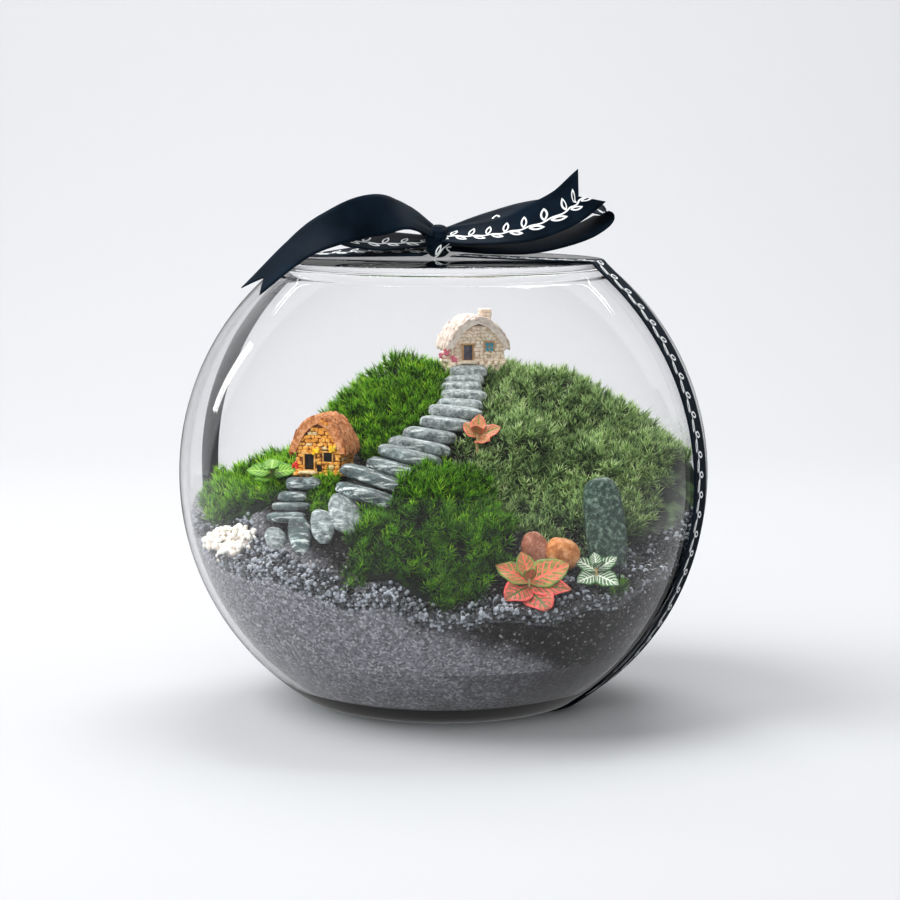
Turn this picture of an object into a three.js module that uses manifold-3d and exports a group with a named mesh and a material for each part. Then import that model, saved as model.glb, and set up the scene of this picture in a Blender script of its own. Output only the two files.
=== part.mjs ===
// A planted glass bowl: moss hill, stone stair, two small cottages, lid and tied ribbon.
// Millimetres, +Z up, origin at the centre of the underside, -Y towards the viewer.
import * as THREE from 'three';
import { mergeVertices } from 'three/addons/utils/BufferGeometryUtils.js';
import Module from 'manifold-3d';

const wasm = await Module();
wasm.setup();

// Driving dimensions
const gap = 0.3;               // between pieces that touch
const sliver = 0.04;           // edges shorter than this are closed up
const bowlRadius = 125;
const bowlCentreZ = 110;
const wall = 3;
const mouthRadius = 78;
const baseFlatRadius = 52;
const floorZ = 6.5;            // inside of the thick base
const lidRadius = 76;
const lidThickness = 3;
const ribbonWidth = 20;
const ribbonThickness = 0.6;
const bandRaise = 4.5;
const bandRaiseStart = 4;
const bandRaiseRun = 8;
const bandFallRun = 30;
const ribbonAngle = -20;       // degrees, the band's plane seen from above
const drainageTopZ = 32;
const gravelDepth = 6;
const mossNeedle = { radius: 0.85, length: 8.5, sunk: 3 };

const bowlBaseZ = ribbonThickness + gap;
const rimZ = bowlCentreZ + Math.sqrt(bowlRadius ** 2 - mouthRadius ** 2);
const lidZ = rimZ + gap;
const lidTopZ = lidZ + lidThickness;
const innerRadius = bowlRadius - wall;
const degrees = Math.PI / 180;

// Places on the ground: x, y and the height of the soil or gravel there
const groundSoftness = 200;
const groundPoints = [
  [3, -108, 59], [47, -98, 58], [76, -80, 62], [100, -56, 72], [112, -36, 83], [118, -15, 93],
  [-43, -102, 66], [-63, -94, 72], [-86, -77, 74], [-99, -62, 78], [-109, -45, 83], [-114, -15, 92],
  [-43, -73, 96], [-20, -48, 112], [-4, -20, 123.5], [8, 8, 136], [13, 33, 145], [15, 56, 157],
  [-53, -79, 91], [-70, -76, 85], [-66, -38, 107], [-72, -60, 94], [-55, -20, 113], [-48, 2, 118],
  [-98, -12, 97], [-86, 4, 106], [-72, 24, 112], [-40, 26, 137], [-20, 44, 153], [-100, 40, 94],
  [0, 108, 98], [60, 92, 100], [-60, 92, 92], [58, 36, 148], [80, 20, 137], [98, 5, 122], [113, 12, 111],
  [26, -60, 92], [3, -42, 110], [40, -86, 67], [53, -75, 76], [74, -60, 77], [60, -34, 96],
  [70, -8, 116], [36, 0, 129], [104, -30, 88], [95, 52, 112], [40, 58, 150],
];

function ground(x, y) {
  let sum = 0;
  let weights = 0;
  for (const [px, py, pz] of groundPoints) {
    const weight = 1 / ((x - px) ** 2 + (y - py) ** 2 + groundSoftness) ** 2;
    sum += weight * pz;
    weights += weight;
  }
  return sum / weights;
}

function randomFrom(seed) {
  let state = seed * 2654435761 >>> 0;
  return () => {
    state = state + 0x6D2B79F5 >>> 0;
    let t = Math.imul(state ^ state >>> 15, 1 | state);
    t = t + Math.imul(t ^ t >>> 7, 61 | t) ^ t;
    return ((t ^ t >>> 14) >>> 0) / 4294967296;
  };
}

// Geometry to solid and back
function solid(geometry) {
  geometry.deleteAttribute('normal');
  geometry.deleteAttribute('uv');
  const merged = mergeVertices(geometry, 1e-4);
  return new wasm.Manifold(new wasm.Mesh({
    numProp: 3,
    vertProperties: new Float32Array(merged.attributes.position.array),
    triVerts: new Uint32Array(merged.index.array),
  }));
}

function joined(solids) {
  return solids.reduce((all, one) => all.add(one));
}

function largest(body) {
  return body.decompose().sort((a, b) => b.volume() - a.volume())[0];
}

function cutBy(body, cutters) {
  return largest(cutters.reduce((rest, cutter) => rest.subtract(cutter), body));
}

function placed(geometry, position, turn = [0, 0, 0]) {
  const matrix = new THREE.Matrix4().makeRotationFromEuler(
    new THREE.Euler(turn[0] * degrees, turn[1] * degrees, turn[2] * degrees, 'ZYX'));
  matrix.setPosition(...position);
  return geometry.applyMatrix4(matrix);
}

const terrarium = new THREE.Group();

function addPiece(name, body, color, roughness = 0.8, metalness = 0) {
  const mesh = body.simplify(sliver).getMesh();
  const geometry = new THREE.BufferGeometry();
  geometry.setAttribute('position', new THREE.BufferAttribute(new Float32Array(mesh.vertProperties), 3));
  geometry.setIndex(new THREE.BufferAttribute(new Uint32Array(mesh.triVerts), 1));
  geometry.computeVertexNormals();
  const piece = new THREE.Mesh(geometry, new THREE.MeshStandardMaterial({ color, roughness, metalness }));
  piece.name = name;
  terrarium.add(piece);
  return piece;
}

// A closed form on a sphere's grid: place(t, angle) with t from 0 at the top to 1 at the bottom
function blob(segments, rows, place) {
  const geometry = new THREE.SphereGeometry(1, segments, rows);
  const position = geometry.attributes.position;
  for (let row = 0; row <= rows; row++) {
    const count = row === 0 || row === rows ? 1 : segments;
    const ring = Array.from({ length: count }, (_, i) => place(row / rows, i / segments * 2 * Math.PI));
    for (let column = 0; column <= segments; column++) {
      position.setXYZ(row * (segments + 1) + column, ...ring[column % count]);
    }
  }
  return geometry;
}

// A thin closed strip: place(u, v, side) with u along from 0 to 1, v across and side through from -1 to 1
function strip(steps, across, place) {
  const geometry = new THREE.BoxGeometry(1, 1, 1, steps, across, 1);
  const position = geometry.attributes.position;
  for (let i = 0; i < position.count; i++) {
    position.setXYZ(i, ...place(position.getX(i) + 0.5, position.getY(i) * 2, position.getZ(i) * 2));
  }
  const under = geometry.groups[5];
  const index = geometry.index;
  for (let i = under.start; i < under.start + under.count; i += 6) {
    const [a, b, c, d] = [index.getX(i), index.getX(i + 1), index.getX(i + 4), index.getX(i + 5)];
    [a, b, c, a, c, d].forEach((corner, k) => index.setX(i + k, corner));
  }
  return geometry;
}

// Bowl and lid
const roundSides = 36;

function lathed(points, sides = roundSides) {
  const geometry = new THREE.LatheGeometry(points.map(([r, z]) => new THREE.Vector2(r, z)), sides);
  return geometry.rotateX(Math.PI / 2);
}

function sphereArc(radius, fromZ, toZ, steps) {
  const from = Math.asin((fromZ - bowlCentreZ) / radius);
  const to = Math.asin((toZ - bowlCentreZ) / radius);
  return Array.from({ length: steps + 1 }, (_, i) => {
    const lift = from + (to - from) * i / steps;
    return [radius * Math.cos(lift), bowlCentreZ + radius * Math.sin(lift)];
  });
}

// The round between a flat floor and the sphere: tangent to both
function baseRound(radius, flatRadius, flatZ, steps) {
  const drop = bowlCentreZ - flatZ;
  const round = (radius ** 2 - flatRadius ** 2 - drop ** 2) / (2 * (radius - drop));
  const sweep = Math.atan2(flatRadius, drop - round);
  return Array.from({ length: steps + 1 }, (_, i) => {
    const angle = sweep * i / steps;
    return [flatRadius + round * Math.sin(angle), flatZ + round - round * Math.cos(angle)];
  });
}

const rimRound = 1.2;

function bowlProfile(radius, flatZ) {
  const foot = baseRound(radius, baseFlatRadius, flatZ, 3);
  return [[0, flatZ], ...foot, ...sphereArc(radius, foot.at(-1)[1], rimZ - rimRound, 10).slice(1)];
}

function bowlSolid() {
  const outer = bowlProfile(bowlRadius, bowlBaseZ);
  const inner = bowlProfile(innerRadius, floorZ - gap);
  const rim = [[mouthRadius - rimRound, rimZ], [inner.at(-1)[0] + rimRound, rimZ]];
  return solid(lathed([...outer, ...rim, ...inner.reverse()]));
}

// The room inside the glass, with the same facets as the wall
function glassRoom() {
  const profile = bowlProfile(innerRadius - gap, floorZ);
  return solid(lathed([...profile, [0, profile.at(-1)[1]]]));
}

function lidSolid() {
  const edge = 0.8;
  return solid(lathed([[0, lidZ], [lidRadius - edge, lidZ], [lidRadius, lidZ + edge],
    [lidRadius, lidTopZ - edge], [lidRadius - edge, lidTopZ], [0, lidTopZ]]));
}

// Fillings: drainage layer, soil hill and top gravel
const glassInside = glassRoom();

function drainageSolid() {
  const random = randomFrom(11);
  return solid(blob(25, 5, (t, angle) => {
    const radius = [0, 45, 90, 110, 110, 0][Math.round(t * 5)];
    const z = t > 0.7 ? 0 : drainageTopZ - 0.9 * random();
    return [radius * Math.cos(angle), radius * Math.sin(angle), z];
  })).intersect(glassInside);
}

// The ground from a floor height to its surface, wider than the glass, with the surface moved by lift
function groundSolid(bottomZ, lift) {
  const rings = 9;
  const outerRadius = innerRadius + 4;
  return solid(blob(29, rings + 2, (t, angle) => {
    const ring = Math.round(t * (rings + 2));
    const radius = ring > rings + 1 ? 0 : outerRadius * Math.min(1, ring / rings);
    const [x, y] = [radius * Math.cos(angle), radius * Math.sin(angle)];
    return [x, y, ring > rings ? bottomZ : ground(x, y) + lift(x, y)];
  }));
}

// The top gravel's area, seen from above: a crescent round the front and right of the glass
function gravelPrism(grow) {
  const shape = new THREE.Shape();
  const inner = [[-92, -22], [-84, -54], [-66, -84], [-36, -99], [0, -97], [26, -93], [36, -70], [62, -55],
    [84, -50], [98, -24], [106, 4]];
  shape.moveTo(-140, -22 + grow);
  shape.lineTo(inner[0][0] + grow, inner[0][1] + grow);
  shape.splineThru(inner.slice(1).map(([x, y]) => new THREE.Vector2(x, y + grow)));
  shape.lineTo(140, 4 + grow);
  shape.lineTo(140, -140);
  shape.lineTo(-140, -140);
  shape.closePath();
  const geometry = new THREE.ExtrudeGeometry(shape, { depth: 90, bevelEnabled: false, curveSegments: 18 });
  return solid(geometry.translate(0, 0, 40));
}

// Stones: a rounded slab with a little unevenness from its seed
function stoneGeometry({ size, seed, square = 0.62, rough = 0.07 }, grow = 0, segments = 8, rows = 4) {
  const random = randomFrom(seed);
  const wave = Array.from({ length: 3 }, () => [1 + Math.floor(random() * 3), random() * 6.3, random()]);
  const sharp = value => Math.sign(value) * Math.abs(value) ** square;
  return blob(segments, rows, (t, angle) => {
    const lift = Math.cos(t * Math.PI);
    const out = Math.sin(t * Math.PI);
    const bulge = 1 + rough * wave.reduce((sum, [n, phase, amount]) =>
      sum + amount * Math.sin(n * angle + phase) * out, 0);
    return [
      (size[0] / 2 + grow) * sharp(Math.cos(angle)) * out ** square * bulge,
      (size[1] / 2 + grow) * sharp(Math.sin(angle)) * out ** square * bulge,
      (size[2] / 2 + grow) * sharp(lift),
    ];
  });
}

function stoneSolid(stone, grow = 0) {
  return solid(placed(stoneGeometry(stone, grow), stone.at, stone.turn));
}

// Stair stones from the foot to the top: x, y, top height, length, roll and yaw in degrees
const stairDepth = 15;
const stairThickness = 6.2;
const stairRows = [
  [-34, -63, 110.5, 28, 15, -14], [-30, -54, 116.5, 32.5, 17, -14], [-22, -45.5, 120, 26, 15, -12],
  [-15.5, -37, 125, 30, 12, -10], [-11, -28, 128.5, 29, 10, -8], [-6, -19, 132.5, 25.5, 8, -6],
  [1, -10, 137, 25, 6, -4], [5, -1, 141.5, 27, 5, 0], [7.5, 8, 144, 21.5, 3, 2], [9.5, 16.5, 147.5, 21, 2, 3],
  [8.5, 25, 150.5, 20.5, 0, 0], [10, 33, 153, 20, -2, 2], [12, 41, 157, 18.5, 0, 0],
];
const stairStones = stairRows.map(([x, y, top, length, roll, yaw], i) => ({
  name: `stair_stone_${String(i + 1).padStart(2, '0')}`,
  size: [length, stairDepth, stairThickness],
  at: [x, y + stairDepth / 2 - 4, top - stairThickness / 2],
  turn: [0, roll, yaw],
  seed: 20 + i,
}));
const slabStones = [
  { name: 'stair_slab', size: [15, 25, 6], at: [-44, -68, 100], turn: [40, 12, 18], seed: 41 },
  { name: 'flagstone_1', size: [10.5, 20, 5.5], at: [-53.5, -76.5, 96], turn: [40, 8, 16], seed: 42 },
  { name: 'flagstone_2', size: [11, 22, 5.5], at: [-63.7, -73.2, 91.4], turn: [42, 5, 14], seed: 43 },
  { name: 'flagstone_3', size: [9.5, 13, 5], at: [-75, -67, 88.5], turn: [42, 0, 10], seed: 44 },
];
const sideRows = [[-64.5, -40.5, 113, 16, 9, 6], [-69, -47, 107.3, 13, 8, 4.5], [-69.5, -53, 103, 17.5, 9, 3.6],
  [-70.5, -59, 99.5, 17, 10, 4.5]];
const sideStones = sideRows.map(([x, y, top, length, depth, thick], i) => ({
  name: `side_step_${i + 1}`,
  size: [length, depth, thick],
  at: [x, y, top - thick / 2],
  turn: [0, 0, -4],
  seed: 50 + i,
}));
const standingStone = {
  name: 'standing_stone', size: [18, 13, 44], at: [73, -57, 93], turn: [-6, -7, 0], seed: 61, square: 0.72,
};
const pebbles = [
  { name: 'pebble_orange', size: [16, 13, 14.5], at: [53, -71, 82.5], turn: [0, 12, 0], seed: 62, square: 0.9 },
  { name: 'pebble_brown', size: [11.5, 11, 19], at: [41.5, -70.5, 83], turn: [0, -16, 0], seed: 63, square: 0.85 },
];

// Cottages: a cast figure with raised wall stones, a thick roof, door, windows and a doorstep
const lowerCottage = {
  name: 'cottage_lower', at: [-55.5, -20, 113.5], yaw: -16, width: 21.5, depth: 17, wallHeight: 13.5, roofHeight: 12,
  overhang: 3, roofThick: 3.6, chimney: 0, seed: 71,
};
const upperCottage = {
  name: 'cottage_upper', at: [14.6, 58.5, 158], yaw: 14, width: 26, depth: 19, wallHeight: 11, roofHeight: 10.5,
  overhang: 3, roofThick: 3.5, chimney: 6, seed: 77,
};

function boxSolid(sx, sy, sz, x, y, z) {
  return solid(new THREE.BoxGeometry(sx, sy, sz).translate(x, y, z + sz / 2));
}

function gableShape(width, eaves, ridge, foot) {
  const shape = new THREE.Shape();
  shape.moveTo(-width / 2, foot);
  shape.lineTo(width / 2, foot);
  shape.lineTo(width / 2, eaves);
  shape.quadraticCurveTo(width * 0.28, ridge, 0, ridge);
  shape.quadraticCurveTo(-width * 0.28, ridge, -width / 2, eaves);
  shape.closePath();
  return shape;
}

function gablePrism(width, depth, eaves, ridge, foot) {
  const shape = gableShape(width, eaves, ridge, foot);
  const geometry = new THREE.ExtrudeGeometry(shape, { depth, bevelEnabled: false, curveSegments: 3 });
  return solid(geometry.rotateX(Math.PI / 2).translate(0, depth / 2, 0));
}

function cottageSolid(c) {
  const ridge = c.wallHeight + c.roofHeight;
  const random = randomFrom(c.seed);
  const front = -c.depth / 2;
  const walls = gablePrism(c.width, c.depth, c.wallHeight, ridge - c.roofThick * 0.7, 0);
  const roofOuter = gablePrism(c.width + 2 * c.overhang, c.depth + c.overhang, c.wallHeight - 1, ridge, c.wallHeight - 4);
  const roofInner = gablePrism(c.width + 0.4, c.depth + 4 * c.overhang, c.wallHeight - 2.6, ridge - c.roofThick, -5);
  const raised = [];
  const stoneRows = 5;
  for (let row = 0; row < stoneRows; row++) {
    for (let column = 0; column < 5; column++) {
      const x = (column - 2 + (row % 2) * 0.5) * c.width / 5.6;
      const bump = new THREE.OctahedronGeometry(1).scale(2.1 + random() * 0.5, 0.9, 1.3 + random() * 0.3);
      raised.push(solid(bump.translate(x, front, 1.8 + row * c.wallHeight / 4.6)));
    }
  }
  const body = joined([walls, roofOuter.subtract(roofInner), ...raised,
    boxSolid(c.width + 3, c.depth + 3, 2.2, 0, 0, -2),
    boxSolid(9, 5, 1.6, -c.width * 0.2, front - 2, -0.6)]);
  const openings = [
    boxSolid(5.2, 3, 7.6, -c.width * 0.2, front, 1),
    boxSolid(4.6, 3, 4.6, c.width * 0.22, front, 5),
    boxSolid(3, 4, 4, c.width / 2, 1, 5),
  ];
  let cottage = openings.reduce((rest, hole) => rest.subtract(hole), body);
  if (c.chimney > 0) {
    cottage = cottage.add(boxSolid(5, 5, c.chimney + 6, c.width * 0.24, 1, ridge - 6 - c.roofThick * 0.5));
  }
  const seat = new THREE.Matrix4().makeRotationZ(c.yaw * degrees).setPosition(...c.at);
  return largest(cottage).transform(seat.elements);
}

// The room that a cottage takes, for cutting what lies round it
function cottageRoom(c) {
  const side = 1.3;
  const ridge = c.wallHeight + c.roofHeight + side;
  const room = joined([
    boxSolid(c.width + 3 + 2 * side, c.depth + 3 + 2 * side, c.wallHeight, 0, 0, -2 - gap),
    gablePrism(c.width + 2 * c.overhang + 2 * side, c.depth + c.overhang + 2 * side, c.wallHeight, ridge,
      c.wallHeight - 5),
    boxSolid(10, 6, 9, -c.width * 0.2, -c.depth / 2 - 2.5, -0.6 - gap),
  ]);
  const seat = new THREE.Matrix4().makeRotationZ(c.yaw * degrees).setPosition(...c.at);
  return room.transform(seat.elements);
}

// Small plants: a stem in the ground and leaves in pairs, each leaf one arched blade with a pointed tip.
// Each leaf: heading, lift, length, width and roll
const plants = [
  { name: 'fittonia_red', at: [38, -88], stem: 8, color: '#b8564c', leaves: [
    [112, 56, 14, 8, 0], [-80, 50, 8, 5, 0], [168, 30, 17, 11, -31.5], [12, 26, 20, 13, 41.5],
    [-128, -8, 17, 11, -31.5], [-22, 4, 19, 9, 43.5], [-64, -14, 19, 12, 20]] },
  { name: 'fittonia_white', at: [68.2, -77.2], stem: 10, color: '#4f7a3c', leaves: [
    [98, 54, 8, 5, 0], [-64, 38, 6, 4, 0], [158, 28, 12, 6, -38.8], [24, 32, 12, 6, 37.2],
    [-143, -8, 11, 7, -40.8], [-42, -10, 12, 8, 37.2]] },
  { name: 'fittonia_pink', at: [16, -19], stem: 11, color: '#c0665c', leaves: [
    [80, 64, 10, 6, 0], [-100, 40, 8, 5, 0], [150, 44, 10, 6, -38], [12, 26, 12, 7, 38], [-60, 10, 10, 6, 25]] },
  { name: 'fittonia_left', at: [-80, -24], stem: 13, color: '#7fa84a', leaves: [
    [-95, 14, 11, 7, 0], [90, 24, 11, 7, 0], [175, 10, 12, 8, -32.5], [-10, 12, 12, 8, 37.5],
    [-145, 0, 9, 6, -32.5]] },
];

function leafGeometry(length, width, thickness = 0.9) {
  return strip(4, 1, (u, v, side) => {
    const half = width / 2 * Math.sin(Math.PI * u ** 0.85) + 0.45 - 0.25 * u;
    const droop = -length * 0.16 * u * u + length * 0.06 * u;
    return [length * u, half * v, droop - Math.abs(v) * half * -0.12 + side * thickness / 2];
  });
}

// Leaves stand on the stem in pairs, each pair lower than the one before
function leafHeight(plant, i) {
  return ground(...plant.at) + plant.stem - 0.8 - Math.floor(i / 2) * 1.7;
}

function plantSolid(plant) {
  const [x, y] = plant.at;
  const foot = ground(x, y) - 5;
  const top = ground(x, y) + plant.stem;
  const stem = new THREE.CylinderGeometry(0.8, 0.9, top - foot, 6).rotateX(Math.PI / 2)
    .translate(x, y, (top + foot) / 2);
  const blades = plant.leaves.map(([heading, lift, length, width, roll], i) => {
    const leaf = placed(leafGeometry(length, width), [0, 0, 0], [roll, -lift, heading]);
    return solid(leaf.translate(x, y, leafHeight(plant, i)));
  });
  return joined([solid(stem), ...blades]);
}

function stemHole(plant) {
  const [x, y] = plant.at;
  const foot = ground(x, y) - 5 - gap;
  return solid(new THREE.CylinderGeometry(1.3, 1.3, 30, 8).rotateX(Math.PI / 2).translate(x, y, foot + 15));
}

// The room round each leaf, which a tuft beside it keeps clear of
function leafRoom(plant) {
  const [x, y] = plant.at;
  return joined(plant.leaves.map(([heading, lift, length, width, roll], i) => {
    const leaf = placed(leafGeometry(length + 1, width + 2, 2.4), [0, 0, 0], [roll, -lift, heading]);
    return solid(leaf.translate(x, y, leafHeight(plant, i)));
  }));
}

// The room round a plant, which moss keeps clear of
function plantRoom(plant) {
  const [x, y] = plant.at;
  const reach = Math.max(...plant.leaves.map(leaf => leaf[2])) + 1;
  const dome = new THREE.SphereGeometry(1, 10, 6).scale(reach, reach, reach * 0.72);
  return solid(dome.translate(x, y, ground(x, y) + plant.stem));
}

// Moss: a cushion round a centre with its reach every 30 degrees, shoots standing out of a smaller core
const mossPads = [
  { name: 'moss_right_hill', centre: [66, 8], color: '#5f7d3e', thick: 7, shoots: 115, seed: 143,
    reach: [56, 56, 62, 66, 56, 46, 42, 46, 58, 54, 56, 56] },
  { name: 'moss_left_hill', centre: [-26, 32], color: '#4f7f22', thick: 8, shoots: 62, seed: 85,
    reach: [28, 30, 40, 46, 44, 38, 32, 30, 34, 40, 32, 26] },
  { name: 'moss_left_low', centre: [-86, -6], color: '#5c8f1e', thick: 7, shoots: 40, seed: 85,
    reach: [22, 24, 30, 34, 34, 30, 26, 28, 30, 32, 26, 18] },
  { name: 'moss_front', centre: [0, -68], color: '#3f6f1a', thick: 8, shoots: 72, seed: 101,
    reach: [26, 30, 36, 34, 30, 28, 38, 46, 34, 28, 27, 25] },
  { name: 'moss_tuft_1', centre: [-54, -36.5], color: '#5c8f1e', thick: 5, shoots: 9, seed: 85,
    reach: Array(12).fill(5) },
  { name: 'moss_tuft_2', centre: [-56.5, -47.5], color: '#5c8f1e', thick: 5, shoots: 10, seed: 96,
    reach: Array(12).fill(6) },
  { name: 'moss_tuft_3', centre: [77, -79], color: '#6d9a2a', thick: 6, shoots: 7, seed: 87,
    reach: Array(12).fill(3.6) },
];

function reachAt(pad, angle) {
  const place = (angle / (2 * Math.PI) + 1) % 1 * 12;
  const low = Math.floor(place);
  const mix = (1 - Math.cos((place - low) * Math.PI)) / 2;
  return pad.reach[low % 12] * (1 - mix) + pad.reach[(low + 1) % 12] * mix;
}

// Height of the cushion over the ground at a share of its reach, with slow hummocks
function cushion(pad, x, y, share) {
  const hummock = 1 + 0.28 * Math.sin(x * 0.23 + pad.seed) * Math.sin(y * 0.21 + 2 * pad.seed);
  return pad.thick * hummock * Math.sqrt(Math.max(0, 1 - share ** 3)) * 0.8;
}

function padPoint(pad, angle, share) {
  const radius = reachAt(pad, angle) * share;
  return [pad.centre[0] + radius * Math.cos(angle), pad.centre[1] + radius * Math.sin(angle)];
}

function mossSolid(pad) {
  const small = pad.shoots < 20;
  const core = solid(blob(small ? 7 : 16, small ? 4 : 8, (t, angle) => {
    const share = Math.sin(Math.min(t, 1 - t) * Math.PI);
    const [x, y] = padPoint(pad, angle, share);
    return [x, y, t < 0.5 ? ground(x, y) + cushion(pad, x, y, share) : ground(x, y) - 2 * (1 - share)];
  }));
  const random = randomFrom(pad.seed);
  const golden = Math.PI * (3 - Math.sqrt(5));
  const shoots = [];
  for (let i = 0; i < pad.shoots; i++) {
    const share = Math.sqrt((i + 0.5) / pad.shoots) * 0.97;
    const [x, y] = padPoint(pad, i * golden % (2 * Math.PI), share);
    if (Math.hypot(x, y) > 112) continue;
    const z = ground(x, y) + cushion(pad, x, y, share);
    const slope = 3;
    const lean = new THREE.Vector3(
      ground(x - slope, y) - ground(x + slope, y) + (random() - 0.5) * 5,
      ground(x, y - slope) - ground(x, y + slope) + (random() - 0.5) * 5, 2 * slope).normalize();
    const length = mossNeedle.length * (0.75 + 0.4 * random()) * (small ? 0.85 : 1);
    const shoot = new THREE.ConeGeometry(mossNeedle.radius, length, 3)
      .translate(0, length / 2 - mossNeedle.sunk, 0);
    shoot.applyQuaternion(new THREE.Quaternion().setFromUnitVectors(new THREE.Vector3(0, 1, 0), lean));
    shoots.push(solid(shoot.translate(x, y, z)));
  }
  return joined([core, ...shoots]);
}

// Lichen: branched lobes that share a core
const lichen = { at: [-94, -46, 81], size: [15, 14, 7], lobes: 20, seed: 91 };

function lichenSolid() {
  const random = randomFrom(lichen.seed);
  const [sx, sy, sz] = lichen.size;
  const lump = new THREE.SphereGeometry(1, 8, 5).scale(sx, sy, sz).translate(...lichen.at);
  const lobes = [];
  const golden = Math.PI * (3 - Math.sqrt(5));
  for (let i = 0; i < lichen.lobes; i++) {
    const up = 1 - (i + 0.5) / lichen.lobes;
    const out = Math.sqrt(1 - up * up);
    const size = 2.4 + 1.4 * random();
    lobes.push(solid(new THREE.IcosahedronGeometry(size, 0).translate(
      lichen.at[0] + sx * out * Math.cos(i * golden), lichen.at[1] + sy * out * Math.sin(i * golden),
      lichen.at[2] + sz * up + 0.5)));
  }
  return joined([solid(lump), ...lobes]);
}

// Ribbon: the band in an upright plane round lid, bowl and base, and the bow on the lid
const ribbonHalf = ribbonThickness / 2;
const bandClear = gap + ribbonHalf;

function bandProfile() {
  const radius = bowlRadius + bandClear;
  const flat = baseRound(radius, baseFlatRadius, bowlBaseZ - bandClear, 5);
  const topZ = lidTopZ + bandClear;
  const edge = new THREE.Vector2(lidRadius + bandClear, lidTopZ - 0.6);
  const edgeLift = Math.atan2(edge.y - bowlCentreZ, edge.x);
  const touch = edgeLift - Math.acos(radius / Math.hypot(edge.x, edge.y - bowlCentreZ));
  const meetZ = bowlCentreZ + radius * Math.sin(touch);
  const down = sphereArc(radius, flat.at(-1)[1], meetZ, 16).reverse();
  const half = [[7, topZ + 1.4], [28, topZ + 0.8], [44, topZ + 0.4], [58, topZ + 0.15],
    [lidRadius - 1.2, topZ], [lidRadius + 0.2, topZ - 0.4], [edge.x, edge.y], ...down, ...flat.reverse().slice(1)];
  return [...half, ...half.map(([s, z]) => [-s, z]).reverse()];
}

// On the lid's left side the band is pulled up by the knot: how high its far edge stands
function bandLift(s, z) {
  if (z < lidTopZ) return 0;
  const rise = (-s - bandRaiseStart) / bandRaiseRun;
  const fall = (lidRadius - bandRaiseStart + s) / bandFallRun;
  return bandRaise * Math.min(1, Math.max(0, rise), Math.max(0, fall));
}

function bandSolid() {
  const points = bandProfile();
  const across = new THREE.Vector2(-Math.sin(ribbonAngle * degrees), Math.cos(ribbonAngle * degrees));
  return solid(strip(points.length - 1, 1, (u, v, side) => {
    const i = Math.round(u * (points.length - 1));
    const [s, z] = points[i];
    const before = points[Math.max(0, i - 1)];
    const after = points[Math.min(points.length - 1, i + 1)];
    const along = new THREE.Vector2(after[0] - before[0], after[1] - before[1]).normalize();
    const off = side * ribbonHalf;
    const reach = s - along.y * off;
    return [
      reach * Math.cos(ribbonAngle * degrees) + across.x * v * ribbonWidth / 2,
      reach * Math.sin(ribbonAngle * degrees) + across.y * v * ribbonWidth / 2,
      z + along.x * off + bandLift(s, z) * (v + 1) / 2,
    ];
  }));
}

// Each bow piece: places along it, the direction across it at each place, steps, and its notched end
const knot = { at: [-2.5, -1, 219.6], size: [13, 15, 15.5] };
const bowPieces = [
  { name: 'bow_tail_left', steps: 14, notch: 9,
    path: [[-4.5, -3.5, 224.6], [-17, -7.5, 231.5], [-33, -11, 232], [-50, -17, 226.8], [-66, -26, 218], [-88.5, -36, 198.5]],
    across: [[0.05, 0.9, 0.42], [0.05, 0.85, 0.5], [0, 0.25, 0.97], [-0.2, 0.6, 0.75], [-0.35, 0.8, 0.42],
      [-0.3, 0.92, 0.25]] },
  { name: 'bow_tail_right', steps: 14, notch: 8,
    path: [[0.5, -4.5, 222.5], [14, -8.5, 223.2], [27, -10, 224.7], [41, -11.5, 228.4], [57, -12, 235.8], [69, -12, 246]],
    across: [[-0.1, 0.85, 0.5], [-0.1, 0.85, 0.45], [-0.15, 0.8, 0.55], [-0.4, 0.6, 0.7], [-0.62, 0.4, 0.68],
      [-0.93, 0, 0.34]] },
  { name: 'bow_loop_left', steps: 20, notch: 0,
    path: [[-5, 5.5, 222], [-20, 9.5, 233.5], [-34, 12, 236], [-48, 13, 230], [-48, 12, 222.5], [-34, 9, 219],
      [-20, 6.5, 218.8], [-5.5, 4, 219]],
    across: [[0.1, 0.93, 0.35], [0.1, 0.93, 0.38], [0.1, 0.93, 0.38], [0.15, 0.9, 0.38], [0.15, 0.9, 0.38],
      [0.1, 0.93, 0.38], [0.1, 0.93, 0.38], [0.1, 0.93, 0.35]] },
  { name: 'bow_loop_right', steps: 24, notch: 0,
    path: [[0, 4.5, 222], [22, 11.5, 228.5], [46, 15, 234], [68, 17.5, 235.5], [77, 18, 231.5], [70, 16, 225.5],
      [46, 11, 218.6], [24, 7.5, 217], [0.5, 4, 217.6]],
    across: [[-0.05, 0.93, 0.35], [-0.1, 0.92, 0.38], [-0.12, 0.92, 0.36], [-0.15, 0.93, 0.32], [-0.15, 0.93, 0.32],
      [-0.15, 0.93, 0.34], [-0.1, 0.92, 0.38], [-0.1, 0.92, 0.38], [-0.05, 0.93, 0.35]] },
];

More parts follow.
